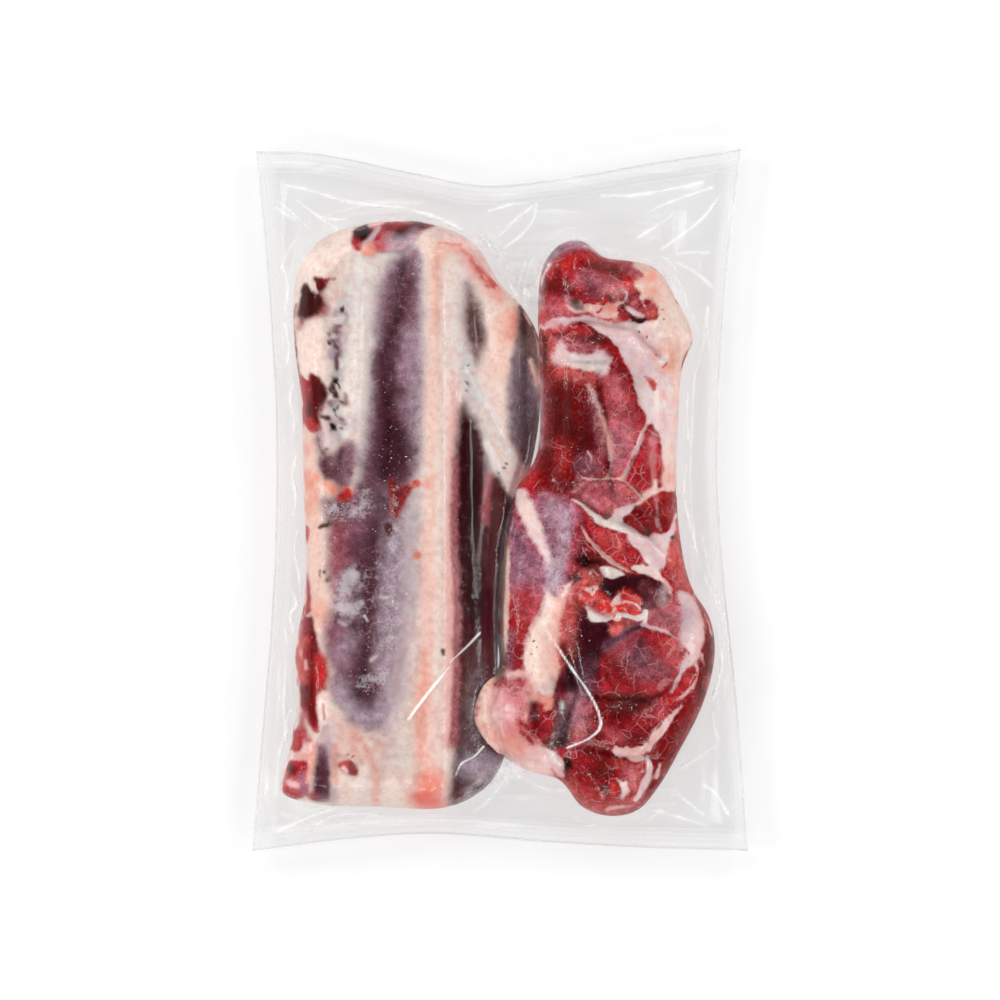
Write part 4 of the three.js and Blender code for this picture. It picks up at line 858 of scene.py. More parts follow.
    ("fat", "fascia", 4, [(22, -50, 1.2), (15, -64, 1.4), (12, -76, 1.6), (16, -92, 1.4)], 0.7),
    ("fat", "cream", 2.4, [(23, -45), (27.5, -49), (32, -43), (35.5, -41.5), (32, -49), (29, -57), (28, -67),
        (27, -78), (27.5, -90), (26, -97), (20, -96), (15.5, -91), (12, -82), (13, -73), (15.5, -66),
        (20, -57), (22, -50)]),
    ("fat", "peach", 4, [(20, -66, 2), (21, -78, 3), (21, -90, 3)], 0.7),
    ("fat", "salmon", 3, [(30, -50, 1.4), (28.5, -60, 1.2), (27.5, -72, 1), (27.5, -86, 1.2)], 0.65),
    ("tint", "umber", 3, [(27, -90, 1.4), (28, -96, 1.2)], 0.5),
    ("lean", "umber", 0.6, [(17, -70, 0.5)]),
    ("lean", "umber", 0.6, [(18.5, -73, 0.4)]),
    ("lean", "umber", 0.6, [(15, -76, 0.4)]),
    ("lean", "heather", 3, [(5, -6), (9, -12), (14, -21), (19, -31), (21, -40), (20, -48), (12, -48),
        (6, -44), (4, -30), (3, -16)]),
    ("tint", "plum", 4, [(8, -18, 2.4), (10, -26, 2), (8, -34, 1.4)], 0.7),
    ("tint", "maroon", 4, [(9, -17, 1.4), (10, -24, 1)], 0.5),
    ("lean", "crimson", 4, [(4, -50), (10, -46), (15, -44), (19, -50), (16, -58), (13, -66), (10, -73),
        (5, -68), (3, -58)]),
    ("tint", "rose", 4, [(17, -48, 2), (14, -58, 1.4), (6, -46, 2)], 0.6),
    ("tint", "garnet", 3, [(9, -56, 2.6), (7, -64, 2)], 0.5),
    ("lean", "mauve", 2, [(5, -67, 1.2), (4.5, -78, 1.8), (5, -88, 1)], 0.8),
    ("lean", "garnet", 2, [(8.5, -70, 1.2), (9, -84, 1.6)], 0.8),
    ("fat", "salmon", 2, [(3, -8, 1.2), (2, -18, 1.6), (2, -30, 2.2), (2, -42, 2.4), (1.5, -52, 2.4),
        (1.5, -62, 2.2), (0.5, -74, 2.2), (0, -84, 2.2)], 0.9),
    ("fat", "cream", 1.5, [(3.5, -26, 0.8), (3, -40, 0.9), (2.5, -58, 0.9), (1, -78, 1.2)], 0.8),
    ("tint", "rouge", 1.5, [(1, -34, 0.6), (0.5, -52, 0.6), (0.5, -70, 0.5)], 0.6),
    # The flap's rolled end with the pocket beside it.
    ("fat", "rosy", 1.5, [(-6, -89), (0, -86), (8, -84), (13, -87), (17, -94), (20, -104), (18, -116),
        (24, -124), (30, -128), (30, -138), (16, -137), (4, -132), (-4, -126), (-10, -120), (-14, -108),
        (-12, -98)]),
    ("fat", "pink", 4, [(4, -98, 4), (6, -106, 4.4), (6, -112, 3)], 0.8),
    ("fat", "fascia", 4, [(3, -104, 2), (-2, -107, 2)], 0.5),
    ("fat", "peach", 2, [(-5, -89, 1.4), (-9.5, -97, 1.8), (-11.5, -107, 2.2), (-9, -117, 2), (-2, -124,
        1.6)], 0.9),
    ("tint", "rouge", 1, [(-9, -112, 0.5), (-6, -119, 0.6)], 0.6),
    ("lean", "rose", 3, [(-2, -92, 1.6), (4, -90.5, 2.4), (10, -91, 2.6)], 0.9),
    ("tint", "crimson", 3, [(11, -91, 2.4), (14, -96, 2)], 0.8),
    ("lean", "pink", 3, [(7, -97, 2.4), (11, -102, 2.4)], 0.7),
    ("lean", "crimson", 3.5, [(10, -109, 1.6), (12.5, -113.5, 3.2), (17, -119, 2.6)], 0.95),
    ("tint", "rouge", 3, [(6, -115, 2), (10, -120, 2)], 0.5),
    ("tint", "salmon", 3, [(4, -119, 3), (11, -125, 2.4), (-2, -117, 2)], 0.6),
    ("tint", "fascia", 3, [(14, -128, 3), (20, -131, 2)], 0.5),
    ("fat", "salmon", 1.5, [(21, -99, 1.4), (25, -99.5, 1.8), (23.5, -103, 1.4)], 0.9),
    ("tint", "lilac", 2, [(21.3, -93.7, 2)], 0.8),
    ("lean", "crimson", 1.4, [(22.5, -104), (25, -104.5), (27, -109), (26.5, -117), (22.5, -118)]),
    ("lean", "garnet", 2, [(17, -101.5, 1.8), (17.5, -107, 3.2), (18, -113, 2.6)], 0.95),
    ("tint", "maroon", 2.5, [(17, -102, 1.2), (17, -107, 1.8)], 0.8),
    ("tint", "mauve", 2, [(17, -106, 1.6)], 0.6),
    ("tint", "deep", 1.5, [(21, -114, 1.2)], 0.7),
    # Painted shade: the pocket's grey-brown and slate, a hollow spanned by the film.
    ("lean", "umber", 2.4, [(28, -99), (33, -100), (35, -108), (34, -117), (29, -122), (23, -121),
        (26.5, -116), (28.5, -108)]),
    ("tint", "slate", 3, [(30.5, -106, 2), (30, -117, 2)], 0.6),
    ("lean", "maroon", 3, [(34, -88, 2), (31, -92, 2.6)], 0.95),
    ("tint", "ink", 2, [(32.5, -91, 1.4)], 0.6),
    ("lean", "heather", 4, [(38, -99, 2), (38, -108, 2)], 0.6),
    ("fat", "fascia", 1.8, [(24, -125, 1.6), (27, -131, 2.2), (30, -136, 1.4)], 0.8),
    ("lean", "rouge", 1.5, [(26, -134, 0.6), (31, -142, 1), (37, -150, 1.2)], 0.8),
    # Painted shade in the dark gap below the pocket.
    ("lean", "ink", 1, [(33, -129, 0.8), (33.5, -132, 1)], 0.95),
    *crumbs("tint", ("salmon", "rouge", "rosy"), [(-6, -91, 1), (-11, -100, 1), (-12, -110, 1.2), (-6, -121,
        1.4)], 18, 0.8, 0.8, 25),
]
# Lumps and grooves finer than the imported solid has: how high each stands, how wide it rounds off, and its shape.
LUMPS = {
    "rib_loin": [
        (0.8, 3, [(-93, -70, 3), (-92, -84, 5), (-94.5, -98, 4)]),
        (-0.7, 2, [(-97, -127, 0.8), (-91, -122, 0.8), (-86, -112, 0.6)]),
        (0.8, 2.5, [(-103, -133, 3.4)]),
        (-0.6, 2, [(-90, -128, 0.6), (-91.5, -148, 0.6)]),
        (0.7, 3, [(-76, -131, 3.4)]),
        (-0.6, 2, [(-66, 126, 0.8), (-58, 122, 0.6), (-45, 124, 0.8), (-38, 131, 0.6)]),
    ],
    "boned_loin": [
        (1.3, 2.4, [(45.5, -57, 2.6), (51, -58.5, 1.8)]),
        (1.3, 2.4, [(42.5, -49.5, 2.6)]),
        (1.4, 2.4, [(47.5, -47, 2), (52, -52, 3.2)]),
        (1.2, 2.4, [(43, -37.5, 3), (47, -38, 2)]),
        (1.2, 2, [(61, -47, 1.6), (67, -50, 1.4)]),
        (1.4, 2.4, [(61, -53, 2), (66, -55, 1.8)]),
        (1.1, 2, [(57, -49, 1.6), (57.5, -58, 1.6)]),
        (1.1, 2.4, [(58, -64, 3)]),
        (-1.2, 2, [(53, -73, 0.8), (58, -68, 1), (65, -64, 1), (70, -61.5, 0.8)]),
        (-0.6, 2, [(53, -80, 0.8), (54, -90, 0.8), (62, -96.5, 1), (74, -97, 1), (84, -93, 0.8)]),
        (-0.9, 2, [(39, 3, 0.6), (44, 8.5, 0.8), (56, 9.8, 0.8), (66, 6.5, 0.8), (70, 1.5, 0.6)]),
        (-1, 2, [(40, -7, 0.6), (45, -18, 0.8), (54, -29, 0.9), (66, -35, 0.8)]),
        (-0.8, 2, [(72, 36, 0.6), (66, 20, 0.6), (61, 10, 0.6)]),
        (0.7, 2, [(48, 46, 0.8), (53, 33, 1.4), (54.3, 20, 1)]),
        (-1, 2, [(33, 108, 0.6), (40, 112, 0.8), (52, 110, 0.8), (58, 104, 0.6)]),
        (0.9, 2.4, [(46, 95, 1.4), (54, 91, 2)]),
        (0.9, 2.4, [(68, 96, 3.6)]),
        (-1.2, 1.8, [(64, 89.5, 0.6), (71, 88.3, 0.8), (76, 89.5, 0.6)]),
        (-1, 2, [(38, 96.5, 1.4)]),
        (0.5, 1.4, [(-10.5, -97, 1)]),
        (0.5, 1.4, [(-12, -103, 1)]),
        (0.6, 1.6, [(-11, -111, 1.2)]),
        (0.5, 1.4, [(-7, -120, 1)]),
        (-1, 3, [(17, -101, 2), (17.5, -107, 3), (18, -113, 2.4)]),
        (-1, 2, [(20, -120, 0.6), (24, -127, 0.8), (28, -136, 0.8)]),
        (0.8, 2.4, [(62, -141, 2), (60, -147, 1.6)]),
        (-1, 2, [(51, -143, 1.6)]),
        (-0.8, 2, [(69, -126, 0.8), (75, -118, 0.8), (86, -104, 0.8)]),
        (0.7, 2.4, [(19, -66, 2.4), (20, -80, 4), (22, -92, 3)]),
        (0.7, 3, [(98, -84, 2), (94, -90, 2)]),
    ],
}
PAINT = {"rib_loin": RIB_PAINT, "boned_loin": BONED_PAINT}
# What each piece is where no stroke lies: its fat's colour, its lean's colour, and fat 1 or lean -1.
GROUND = {"rib_loin": ("cream", "plum", 1), "boned_loin": ("fascia", "crimson", -1)}
# The same for the side that lies on the table.
UNDER_GROUND = {"rib_loin": ("cream", "garnet", 0.75), "boned_loin": ("fascia", "garnet", -0.45)}


def linear(rgb):
    """A colour's linear values from its 0 to 255 ones."""
    c = np.array(rgb, float) / 255
    return np.where(c <= 0.04045, c / 12.92, ((c + 0.055) / 1.055) ** 2.4)


SHEEN = 0.011  # what the film and the wet surface add to every colour under them
PALETTE = {name: np.clip((linear(rgb) - SHEEN) / (1 - SHEEN), 0.002, 1) for name, rgb in COLOURS.items()}
SOFTER = 1.5  # how much softer every stroke is laid than its row says
STRAY = 1.3  # how far the strokes' edges wander
SIDE_STRAY = 7  # how much farther they wander where the side falls steeply
LINE_SPREAD = 1.4  # how far past its edge a stroke's colour still lies, where roughness may carry the edge


def quarter_round(t):
    return np.sqrt(1 - (1 - np.clip(t, 0, 1)) ** 2)


def crown(piece, x, y):
    """Height of a piece's top above the seam, before its shoulders round it off."""
    height = np.full(np.shape(x), piece["height"] - SEAM_HEIGHT, float)
    for slope in piece["slopes"]:
        there = smooth((y - slope["above"]) / SLOPE_FADE) * smooth((slope["below"] - y) / SLOPE_FADE)
        height -= slope["drop"] * there * np.clip((x - slope["from"]) / (slope["to"] - slope["from"]), 0, 1)
    for relief in piece["reliefs"]:
        height += relief["rise"] * np.exp(-((distance_to_path(x, y, relief["path"]) / relief["width"]) ** 2))
    height += 0.8 * rough(x, y, 0, 12, 5)
    return height


def lumps_of(name, x, y):
    """How far a piece's lumps and grooves raise each point."""
    rise = np.zeros(np.shape(x))
    for high, rounded, band in LUMPS[name]:
        depth = depth_in_band(x, y, band)
        rise += high * smooth(0.5 + depth / (2 * rounded))
    return rise


def top_of(piece, x, y, depth):
    return SEAM_HEIGHT + crown(piece, x, y) * quarter_round(depth / piece["shoulder"])


def underside_of(piece, depth):
    return FILM_GAP + (SEAM_HEIGHT - FILM_GAP) * (1 - quarter_round(depth / piece["seat"]))


def lapped_top(x, y, depth):
    """Height of the boned piece's flap where it lies on the rib piece. depth is the one in the boned piece."""
    in_rib = depth_in_ring(x, y, RIB_LOIN["ring"])
    height = top_of(RIB_LOIN, x, y, np.maximum(in_rib, 0)) + FLAP_THICKNESS * quarter_round(depth / 6)
    share = smooth(in_rib / 4) * smooth((FLAP_HEAD - y) / 6) * (depth > 0)
    return SEAM_HEIGHT + (height - SEAM_HEIGHT) * share


def over_flap(high, x, y, depth):
    """The boned piece's top, running smoothly into its flap."""
    lap = lapped_top(x, y, depth)
    return (high + lap + np.sqrt((high - lap) ** 2 + FLAP_BLEND**2 * smooth((lap - SEAM_HEIGHT) / 4))) / 2


def depth_in_shape(x, y, shape):
    if len(shape[0]) == 3:
        return depth_in_band(x, y, shape)
    return depth_in_ring(x, y, spline(shape, 5 * len(shape), closed=True))


def paint(name, x, y, z, under, side):
    """The tissue, the two colours and the frost at each point of a piece.

    under is 1 on its lower side, and side is 1 where its edge falls steeply.
    """
    fat_ground, lean_ground, tissue_ground = GROUND[name]
    fat = np.tile(PALETTE[fat_ground], (len(x), 1))
    lean = np.tile(PALETTE[lean_ground], (len(x), 1))
    tissue = np.full(len(x), float(tissue_ground))
    frost = np.zeros(len(x))
    stray = STRAY + SIDE_STRAY * side
    wx = x + stray * rough(x, y, z, 7, 31) + 0.5 * rough(x, y, z, 2.4, 33, 2)
    wy = y + stray * rough(x, y, z, 7, 47) + 0.5 * rough(x, y, z, 2.4, 49, 2)
    for kind, colour, soft, shape, *strength in PAINT[name]:
        strength = strength[0] if strength else 1
        reach = np.array(shape)
        wide = (reach[:, 2].max() if reach.shape[1] == 3 else 0) + SOFTER * soft + LINE_SPREAD + 2
        low, high = reach[:, :2].min(0) - wide, reach[:, :2].max(0) + wide
        near = np.flatnonzero((wx > low[0]) & (wx < high[0]) & (wy > low[1]) & (wy < high[1]))
        if not len(near):
            continue
        soft = soft * SOFTER
        depth = depth_in_shape(wx[near], wy[near], shape)
        cover = smooth(0.5 + depth / (2 * soft))
        if kind == "frost":
            frost[near] = np.maximum(frost[near], strength * cover)
            continue
        colour = PALETTE[colour]
        if kind in ("fat", "lean"):
            target = 1 if kind == "fat" else -1
            tissue[near] = mix(tissue[near], target, cover * min(1, strength + 0.3))
            spread = strength * smooth(0.5 + (depth + LINE_SPREAD) / (2 * soft))
        else:
            spread = strength * cover
        for layer, layer_kind in ((fat, "fat"), (lean, "lean")):
            if kind in (layer_kind, "tint"):
                layer[near] = mix(layer[near], colour, spread[:, None])
    fat_ground, lean_ground, share = UNDER_GROUND[name]
    blotch = rough(x, y, z, 26, 71) * 1.6 + rough(x, y, z, 7, 73) * 0.5
    fat = mix(fat, PALETTE[fat_ground], under[:, None])
    lean = mix(lean, PALETTE[lean_ground], under[:, None])
    tissue = mix(tissue, np.clip((share + blotch) * 2.5, -1, 1), under)
    return fat, lean, tissue, frost * (1 - under)


def give(mesh, name, values):
    """Keeps a value or a colour for each point of a mesh, for its material to read."""
    if values.ndim == 1:
        mesh.attributes.new(name, "FLOAT", "POINT").data.foreach_set("value", values.astype(np.float32))
        return
    rgba = np.column_stack([values, np.ones(len(values))]).astype(np.float32)
    mesh.attributes.new(name, "FLOAT_COLOR", "POINT").data.foreach_set("color", rgba.ravel())


def make_mesh(name, points, faces, corner_map):
    """A mesh object from points in millimetres, with smooth shading and its map for baking, one place a corner."""
    mesh = bpy.data.meshes.new(name)
    mesh.from_pydata((np.asarray(points) * MM).tolist(), [], [list(map(int, f)) for f in faces])
    mesh.polygons.foreach_set("use_smooth", np.ones(len(mesh.polygons), bool))
    mesh.uv_layers.new(name="OFBake").data.foreach_set("uv", np.asarray(corner_map, np.float32).ravel())
    mesh.update()
    made = bpy.data.objects.new(name, mesh)
    bpy.context.scene.collection.objects.link(made)
    return made


# The rings of a piece's mesh: round the outline, over the shoulder, across the top, and over the lower side.
SIDE_STEPS = 500
SHOULDER_RINGS = 26
TOP_RINGS = 50
SEAT_RINGS = 10
UNDER_RINGS = 8
ROW_STEPS = 4000
FAT_RISE = 0.3
FLAP_DENT = 9  # how far the rib piece is pressed down under the other piece's flap
FLAP_HEAD = -84
FLAP_THICKNESS = 2.5
FLAP_BLEND = 4


def rim_and_spine(piece):
    """Points round the outline from head to foot and back, and the spine's point that each shrinks to."""
    dense = spline(piece["outline"], ROW_STEPS, closed=True)[:-1]
    head = np.argmin(np.hypot(*(dense - piece["head"]).T))
    dense = np.roll(dense, -head, axis=0)
    foot = np.argmin(np.hypot(*(dense - piece["foot"]).T))
    spaced = []
    for side in (dense[: foot + 1], np.vstack([dense[foot:], dense[:1]])):
        run = np.concatenate([[0], np.cumsum(np.hypot(*np.diff(side, axis=0).T))])
        at = np.linspace(0, run[-1], SIDE_STEPS + 1)[:-1]
        spaced.append(np.column_stack([np.interp(at, run, side[:, k]) for k in (0, 1)]))
    inner = spline(piece["spine"], SIDE_STEPS)
    return np.vstack(spaced), np.vstack([inner[:-1], inner[:0:-1]])


def laid_flat(rings, ends):
    """The places of a side's points laid flat from its spine out, by the length over its surface."""
    out = rings[0, :, :2] - ends
    out /= np.hypot(*out.T)[:, None]
    steps = np.linalg.norm(np.diff(rings, axis=0), axis=2)
    run = np.vstack([np.cumsum(steps[::-1], axis=0)[::-1], np.zeros(len(ends))])
    return ends + out * run[..., None]


def make_piece(name):
    """A closed mesh of one piece: rings from its outline in to its spine, above and below."""
    piece = PIECES[name]
    rim, ends = rim_and_spine(piece)
    around = len(rim)
    reach = np.hypot(*(ends - rim).T)

    def sheet(round_off, round_rings, flat_rings):
        """The rings of one side, close together where it rounds off and even from there to the spine."""
        curve = (1 - np.cos(np.linspace(0, math.pi / 2, round_rings + 1)))[1:, None]
        round_share = curve * np.minimum(round_off, 0.8 * reach) / reach
        last = round_share[-1]
        flat_share = last + (1 - last) * np.linspace(0, 1, flat_rings + 1)[1:, None]
        return [mix(rim, ends, share[:, None]) for share in np.vstack([round_share, flat_share])]

    top_rings = sheet(piece["shoulder"], SHOULDER_RINGS, TOP_RINGS)
    under_rings = sheet(piece["seat"], SEAT_RINGS, UNDER_RINGS)
    flat = np.vstack([rim, *top_rings, *under_rings])
    x, y = flat.T
    depth = np.maximum(depth_in_ring(x, y, piece["ring"]), 0)
    start = around * (1 + len(top_rings))
    is_top = np.arange(len(flat)) < start
    z = np.where(is_top, top_of(piece, x, y, depth), underside_of(piece, depth))
    if name == "rib_loin":
        z -= FLAP_DENT * smooth(depth_in_ring(x, y, BONED_LOIN["ring"]) / 3) * (z > SEAM_HEIGHT) * (y < FLAP_HEAD)
    else:
        z = np.where(is_top, over_flap(z, x, y, depth), z)
    z[:around] = SEAM_HEIGHT

    under = np.where(is_top, 0.0, smooth((depth - 1) / 7))
    side = smooth((2.5 - depth) / 1.5) * smooth((2 * SEAM_HEIGHT - z) / 8)
    fat, lean, tissue, frost = paint(name, x, y, z, under, side)
    # Fat stands a little proud of the lean, and both are uneven.
    raised = FAT_RISE * tissue + 0.12 * rough(x, y, z, 3, 91) + lumps_of(name, x, y)
    dented = -0.1 * rough(x, y, z, 9, 92)
    z += np.where(is_top, raised, dented) * smooth(depth / 6)

    here = np.arange(around)
    after = np.roll(here, -1)
    top_faces, low_faces = [], []
    for low in range(0, start - around, around):
        top_faces.append(np.column_stack([low + after, low + here, low + around + here, low + around + after]))
    for k in range(len(under_rings)):
        low = 0 if k == 0 else start + (k - 1) * around
        high = start + k * around
        low_faces.append(np.column_stack([low + here, low + after, high + after, high + here]))
    top_faces, low_faces = np.vstack(top_faces), np.vstack(low_faces)
    # Each side's last ring runs down the spine and back, and its points are welded there in pairs.
    points = np.column_stack([x, y, z])
    rings = points.reshape(-1, around, 3)
    top_map = laid_flat(rings[: 1 + len(top_rings)], ends)
    low_map = laid_flat(np.concatenate([rings[:1], rings[1 + len(top_rings) :]]), ends)
    span = 1.02 * max(np.ptp(top_map[..., 0]), np.ptp(top_map[..., 1]) / 2)
    corner = top_map.reshape(-1, 2).min(0) - 0.005 * span
    top_map, low_map = ((sheet_map - corner) / (2 * span) for sheet_map in (top_map, low_map))
    low_corners = np.where(low_faces < around, low_faces, low_faces - start + around)
    corner_map = [top_map.reshape(-1, 2)[top_faces], low_map.reshape(-1, 2)[low_corners] + (0.5, 0)]

    made = make_mesh(name, points, np.vstack([top_faces, low_faces]), np.vstack(corner_map))
    for label, values in (("fat_colour", fat), ("lean_colour", lean), ("tissue", tissue), ("frost", frost)):
        give(made.data, label, values)
    weld = made.modifiers.new("weld", "WELD")
    weld.merge_threshold = 0.00002
    return made


def pouch_patch(u, v):
    """The place of each share across (u) and along (v) the pouch, between its four curved edges."""
    lines = {side: spline(points, 400) for side, points in EDGES.items()}

    def on(side, share):
        at = np.linspace(0, 1, len(lines[side]))
        return np.stack([np.interp(share, at, lines[side][:, k]) for k in (0, 1)], axis=-1)

    u2, v2 = u[..., None], v[..., None]
    low = mix(np.array(BOTTOM_LEFT), np.array(BOTTOM_RIGHT), u2)
    high = mix(np.array(TOP_LEFT), np.array(TOP_RIGHT), u2)
    sides = mix(on("left", v), on("right", v), u2)
    ends = mix(on("bottom", u), on("top", u), v2)
    return sides + ends - mix(low, high, v2)


FOLD_WIDTH = 2.2
FOLD_RISE = 1.5
FOLDS = [
    [(-113, 160), (-84, 146), (-50, 143)],
    [(-112, 158), (-98, 142), (-86, 134)],
    [(112, 162), (84, 148), (62, 136)],
    [(111, 158), (98, 140), (88, 122)],
    [(4, 152), (4, 138), (3, 116)],
    [(20, 150), (16, 140), (8, 122)],
    [(-112, -160), (-96, -158), (-84, -154)],
    [(112, -162), (96, -146), (84, -138)],
    [(112, -150), (104, -128), (100, -116)],
    [(20, -160), (16, -148), (12, -138)],
]
# Sharp creases in the film, painted white as threads of highlight, partly the whitening of creased film: (x, y,
# half width) along each.
CREASES = [
    [(-107, 157, 0.3), (-93, 154, 0.5), (-77, 149, 0.6), (-63, 147, 0.6), (-48.5, 145.5, 0.7), (-39, 143,
        0.9), (-29, 139.7, 1.1), (-19, 134.6, 0.8)],
    [(-111.5, 145.7, 0.3), (-106.7, 142.5, 0.5), (-102, 139.3, 0.4)],
    [(-111.4, 149.7, 0.2), (-102.7, 142.5, 0.4), (-94, 134, 0.3)],
    [(-101, 149, 0.2), (-93, 143.3, 0.5), (-81, 134.5, 0.4)],
    [(-87.5, 141, 0.2), (-80.3, 139.5, 0.4), (-74, 141, 0.3)],
    [(-109, 118, 0.3), (-106, 108, 0.5), (-106, 100, 0.4), (-107, 94, 0.3)],
    [(51, 152, 0.5), (63.8, 151.7, 0.6), (79.7, 154, 0.5), (101.3, 158.5, 0.4)],
    [(106, 156, 0.4), (94, 152, 0.3), (79.7, 146.5, 0.4), (73.4, 143.3, 0.3)],
    [(110, 152, 0.3), (101.3, 141, 0.5), (91.7, 133, 0.5), (80.5, 125, 0.4)],
    [(86, 142, 0.3), (77, 136, 0.4), (68.6, 130.6, 0.4)],
    [(87.7, 118.6, 0.3), (97.3, 113.8, 0.5), (105.3, 106.6, 0.6)],
    [(88.5, 123, 0.2), (97, 123.5, 0.3), (105.3, 123.2, 0.2)],
    [(18.3, 148, 0.4), (16.7, 140, 0.4), (10.4, 132, 0.5), (2.4, 125.8, 0.5)],
    [(16, 146.5, 0.3), (8, 140, 0.4), (0, 132, 0.4)],
    [(14.4, 148.5, 0.3), (4, 147, 0.3), (-6, 144, 0.3)],
    [(12.8, 119.4, 0.3), (9.6, 108, 0.4), (6.4, 100, 0.4)],
    [(87, 111.4, 0.3), (91.7, 103.4, 0.4), (93.3, 95.5, 0.3)],
    [(103.7, 96, 0.4), (102.9, 88.3, 0.5), (104.5, 76.3, 0.4)],
    [(-106.7, -81, 0.4), (-107.8, -103.5, 0.5), (-106.3, -114.7, 0.6), (-108.3, -121, 0.5), (-110, -126, 0.4),
        (-111.5, -148, 0.3)],
    [(-110.6, -165, 0.3), (-96.3, -158.5, 0.6), (-82, -153, 0.4)],
    [(-90.7, -161.7, 0.3), (-83.5, -157.3, 0.5), (-69, -156, 0.5), (-57, -157.7, 0.3)],
    [(75.7, -154, 0.4), (87.7, -157.7, 0.5), (103.7, -162.5, 0.4)],
    [(90, -133.8, 0.3), (99.7, -128, 0.5), (107.7, -122.6, 0.4)],
    [(106, -106, 0.4), (107, -114.7, 0.5), (109, -119, 0.3)],
    [(101.3, -141.8, 0.4), (107.7, -146.5, 0.6), (114, -157, 0.5)],
    [(87.7, -145.8, 0.3), (101.3, -157, 0.4)],
    [(-101, -15, 0.3), (-102.5, -26, 0.4), (-100.5, -34, 0.5), (-99, -50, 0.4)],
    [(23, -64, 0.1), (28, -72, 0.3), (36, -84, 0.5), (44, -95.5, 0.6), (49, -106, 0.6), (49.5, -112, 0.5),
        (44, -117.5, 0.4), (33, -122.5, 0.6)],
    [(-10, -66, 0.5), (-17, -73, 0.3), (-25, -80, 0.2)],
    # Where the film leaves the meat at the left and the right.
    [(-107, 88, 0.3), (-105, 76, 0.6), (-106.5, 66, 0.3)],
    [(-103, 58, 0.3), (-104.5, 50, 0.6), (-102.5, 40, 0.4), (-103.5, 30, 0.3)],
    [(-101.5, 22, 0.3), (-103.5, 12, 0.5), (-101.5, 0, 0.6), (-103, -8, 0.3)],
    [(-104, -44, 0.3), (-101.5, -52, 0.8), (-104.5, -57, 0.5), (-102.5, -66, 0.4)],
    [(-107, -64, 0.4), (-106, -72, 0.3)],
    [(-104, -104, 0.3), (-107.5, -113, 0.5), (-105.5, -122, 0.3)],
    [(94.5, 60, 0.3), (93, 44, 0.5), (94, 30, 0.3)],
    [(93, 18, 0.3), (91.5, 4, 0.5), (94, -10, 0.6), (97.5, -24, 0.3)],
    [(101, -36, 0.3), (106, -46, 0.5), (110, -58, 0.3)],
    [(111, -70, 0.3), (110, -86, 0.5), (106, -100, 0.3)],
    [(101, -18, 0.2), (104, -34, 0.3), (108, -46, 0.2)],
    [(-25, -82, 0.3), (-33, -92, 0.6), (-40, -101, 0.8), (-45, -108, 0.5)],
    [(-8, -122, 0.4), (-13, -127, 0.4), (-19, -130, 0.5), (-22, -136, 0.3)],
]
# How soft a crease is and how much of it shows at its edge, on the meat and in the loose film.
CREASE_SOFTNESS = 1.1
LOOSE_SOFTNESS = 2.4
CREASE_START = 0.6
LOOSE_START = 0.54
# Where thin pale tissue and white bubbled film lie between and beside the pieces, and two painted glints on the
# film over the pocket: strength, softness, shape.
HAZES = [
    (0.35, 3, [(-25, -152), (-10, -147), (4, -141), (20, -136), (27, -134), (24, -126), (12, -129), (2, -127),
        (-6, -134), (-16, -142)]),
    (0.4, 3, [(-14, 130), (-4, 122), (3, 110), (8, 100), (14, 98), (17, 104), (8, 114), (0, 127), (-8, 134)]),
    (0.35, 3, [(17, 100), (20, 92), (22, 112), (28, 124), (24, 126), (17, 114)]),
    (0.35, 2.5, [(30, 128, 1.5), (42, 131, 1.8), (54, 124, 2), (66, 121, 2), (78, 117, 2), (88, 104, 2)]),
    # These two are painted glints: white film highlights over the pocket beside the flap.
    (0.7, 1.2, [(30.5, -100.5, 0.8), (31, -104.5, 1)]),
    (0.8, 1.4, [(25, -121, 1), (26.5, -127, 1.6), (29.5, -131, 1.2)]),
    (0.12, 4, [(-12, -84, 3), (-14, -100, 3), (-15, -125, 4)]),
    (0.4, 2.5, [(20, 60, 0.5), (20.5, 45, 0.5), (20, 25, 0.5)]),
]
CREASE_RISE = 0.3


def settle(limit, radius):
    """A film settled on what holds it: it spans each hollow, bent no tighter than the radius."""
    cell = POUCH_LENGTH / FILM_CELLS[1]
    pull = cell**2 / (4 * radius)
    height = limit.copy()
    for _ in range(SETTLE_STEPS):
        around = (height[:-2, 1:-1] + height[2:, 1:-1] + height[1:-1, :-2] + height[1:-1, 2:]) / 4
        height[1:-1, 1:-1] = np.maximum(limit[1:-1, 1:-1], around - pull)
    return height


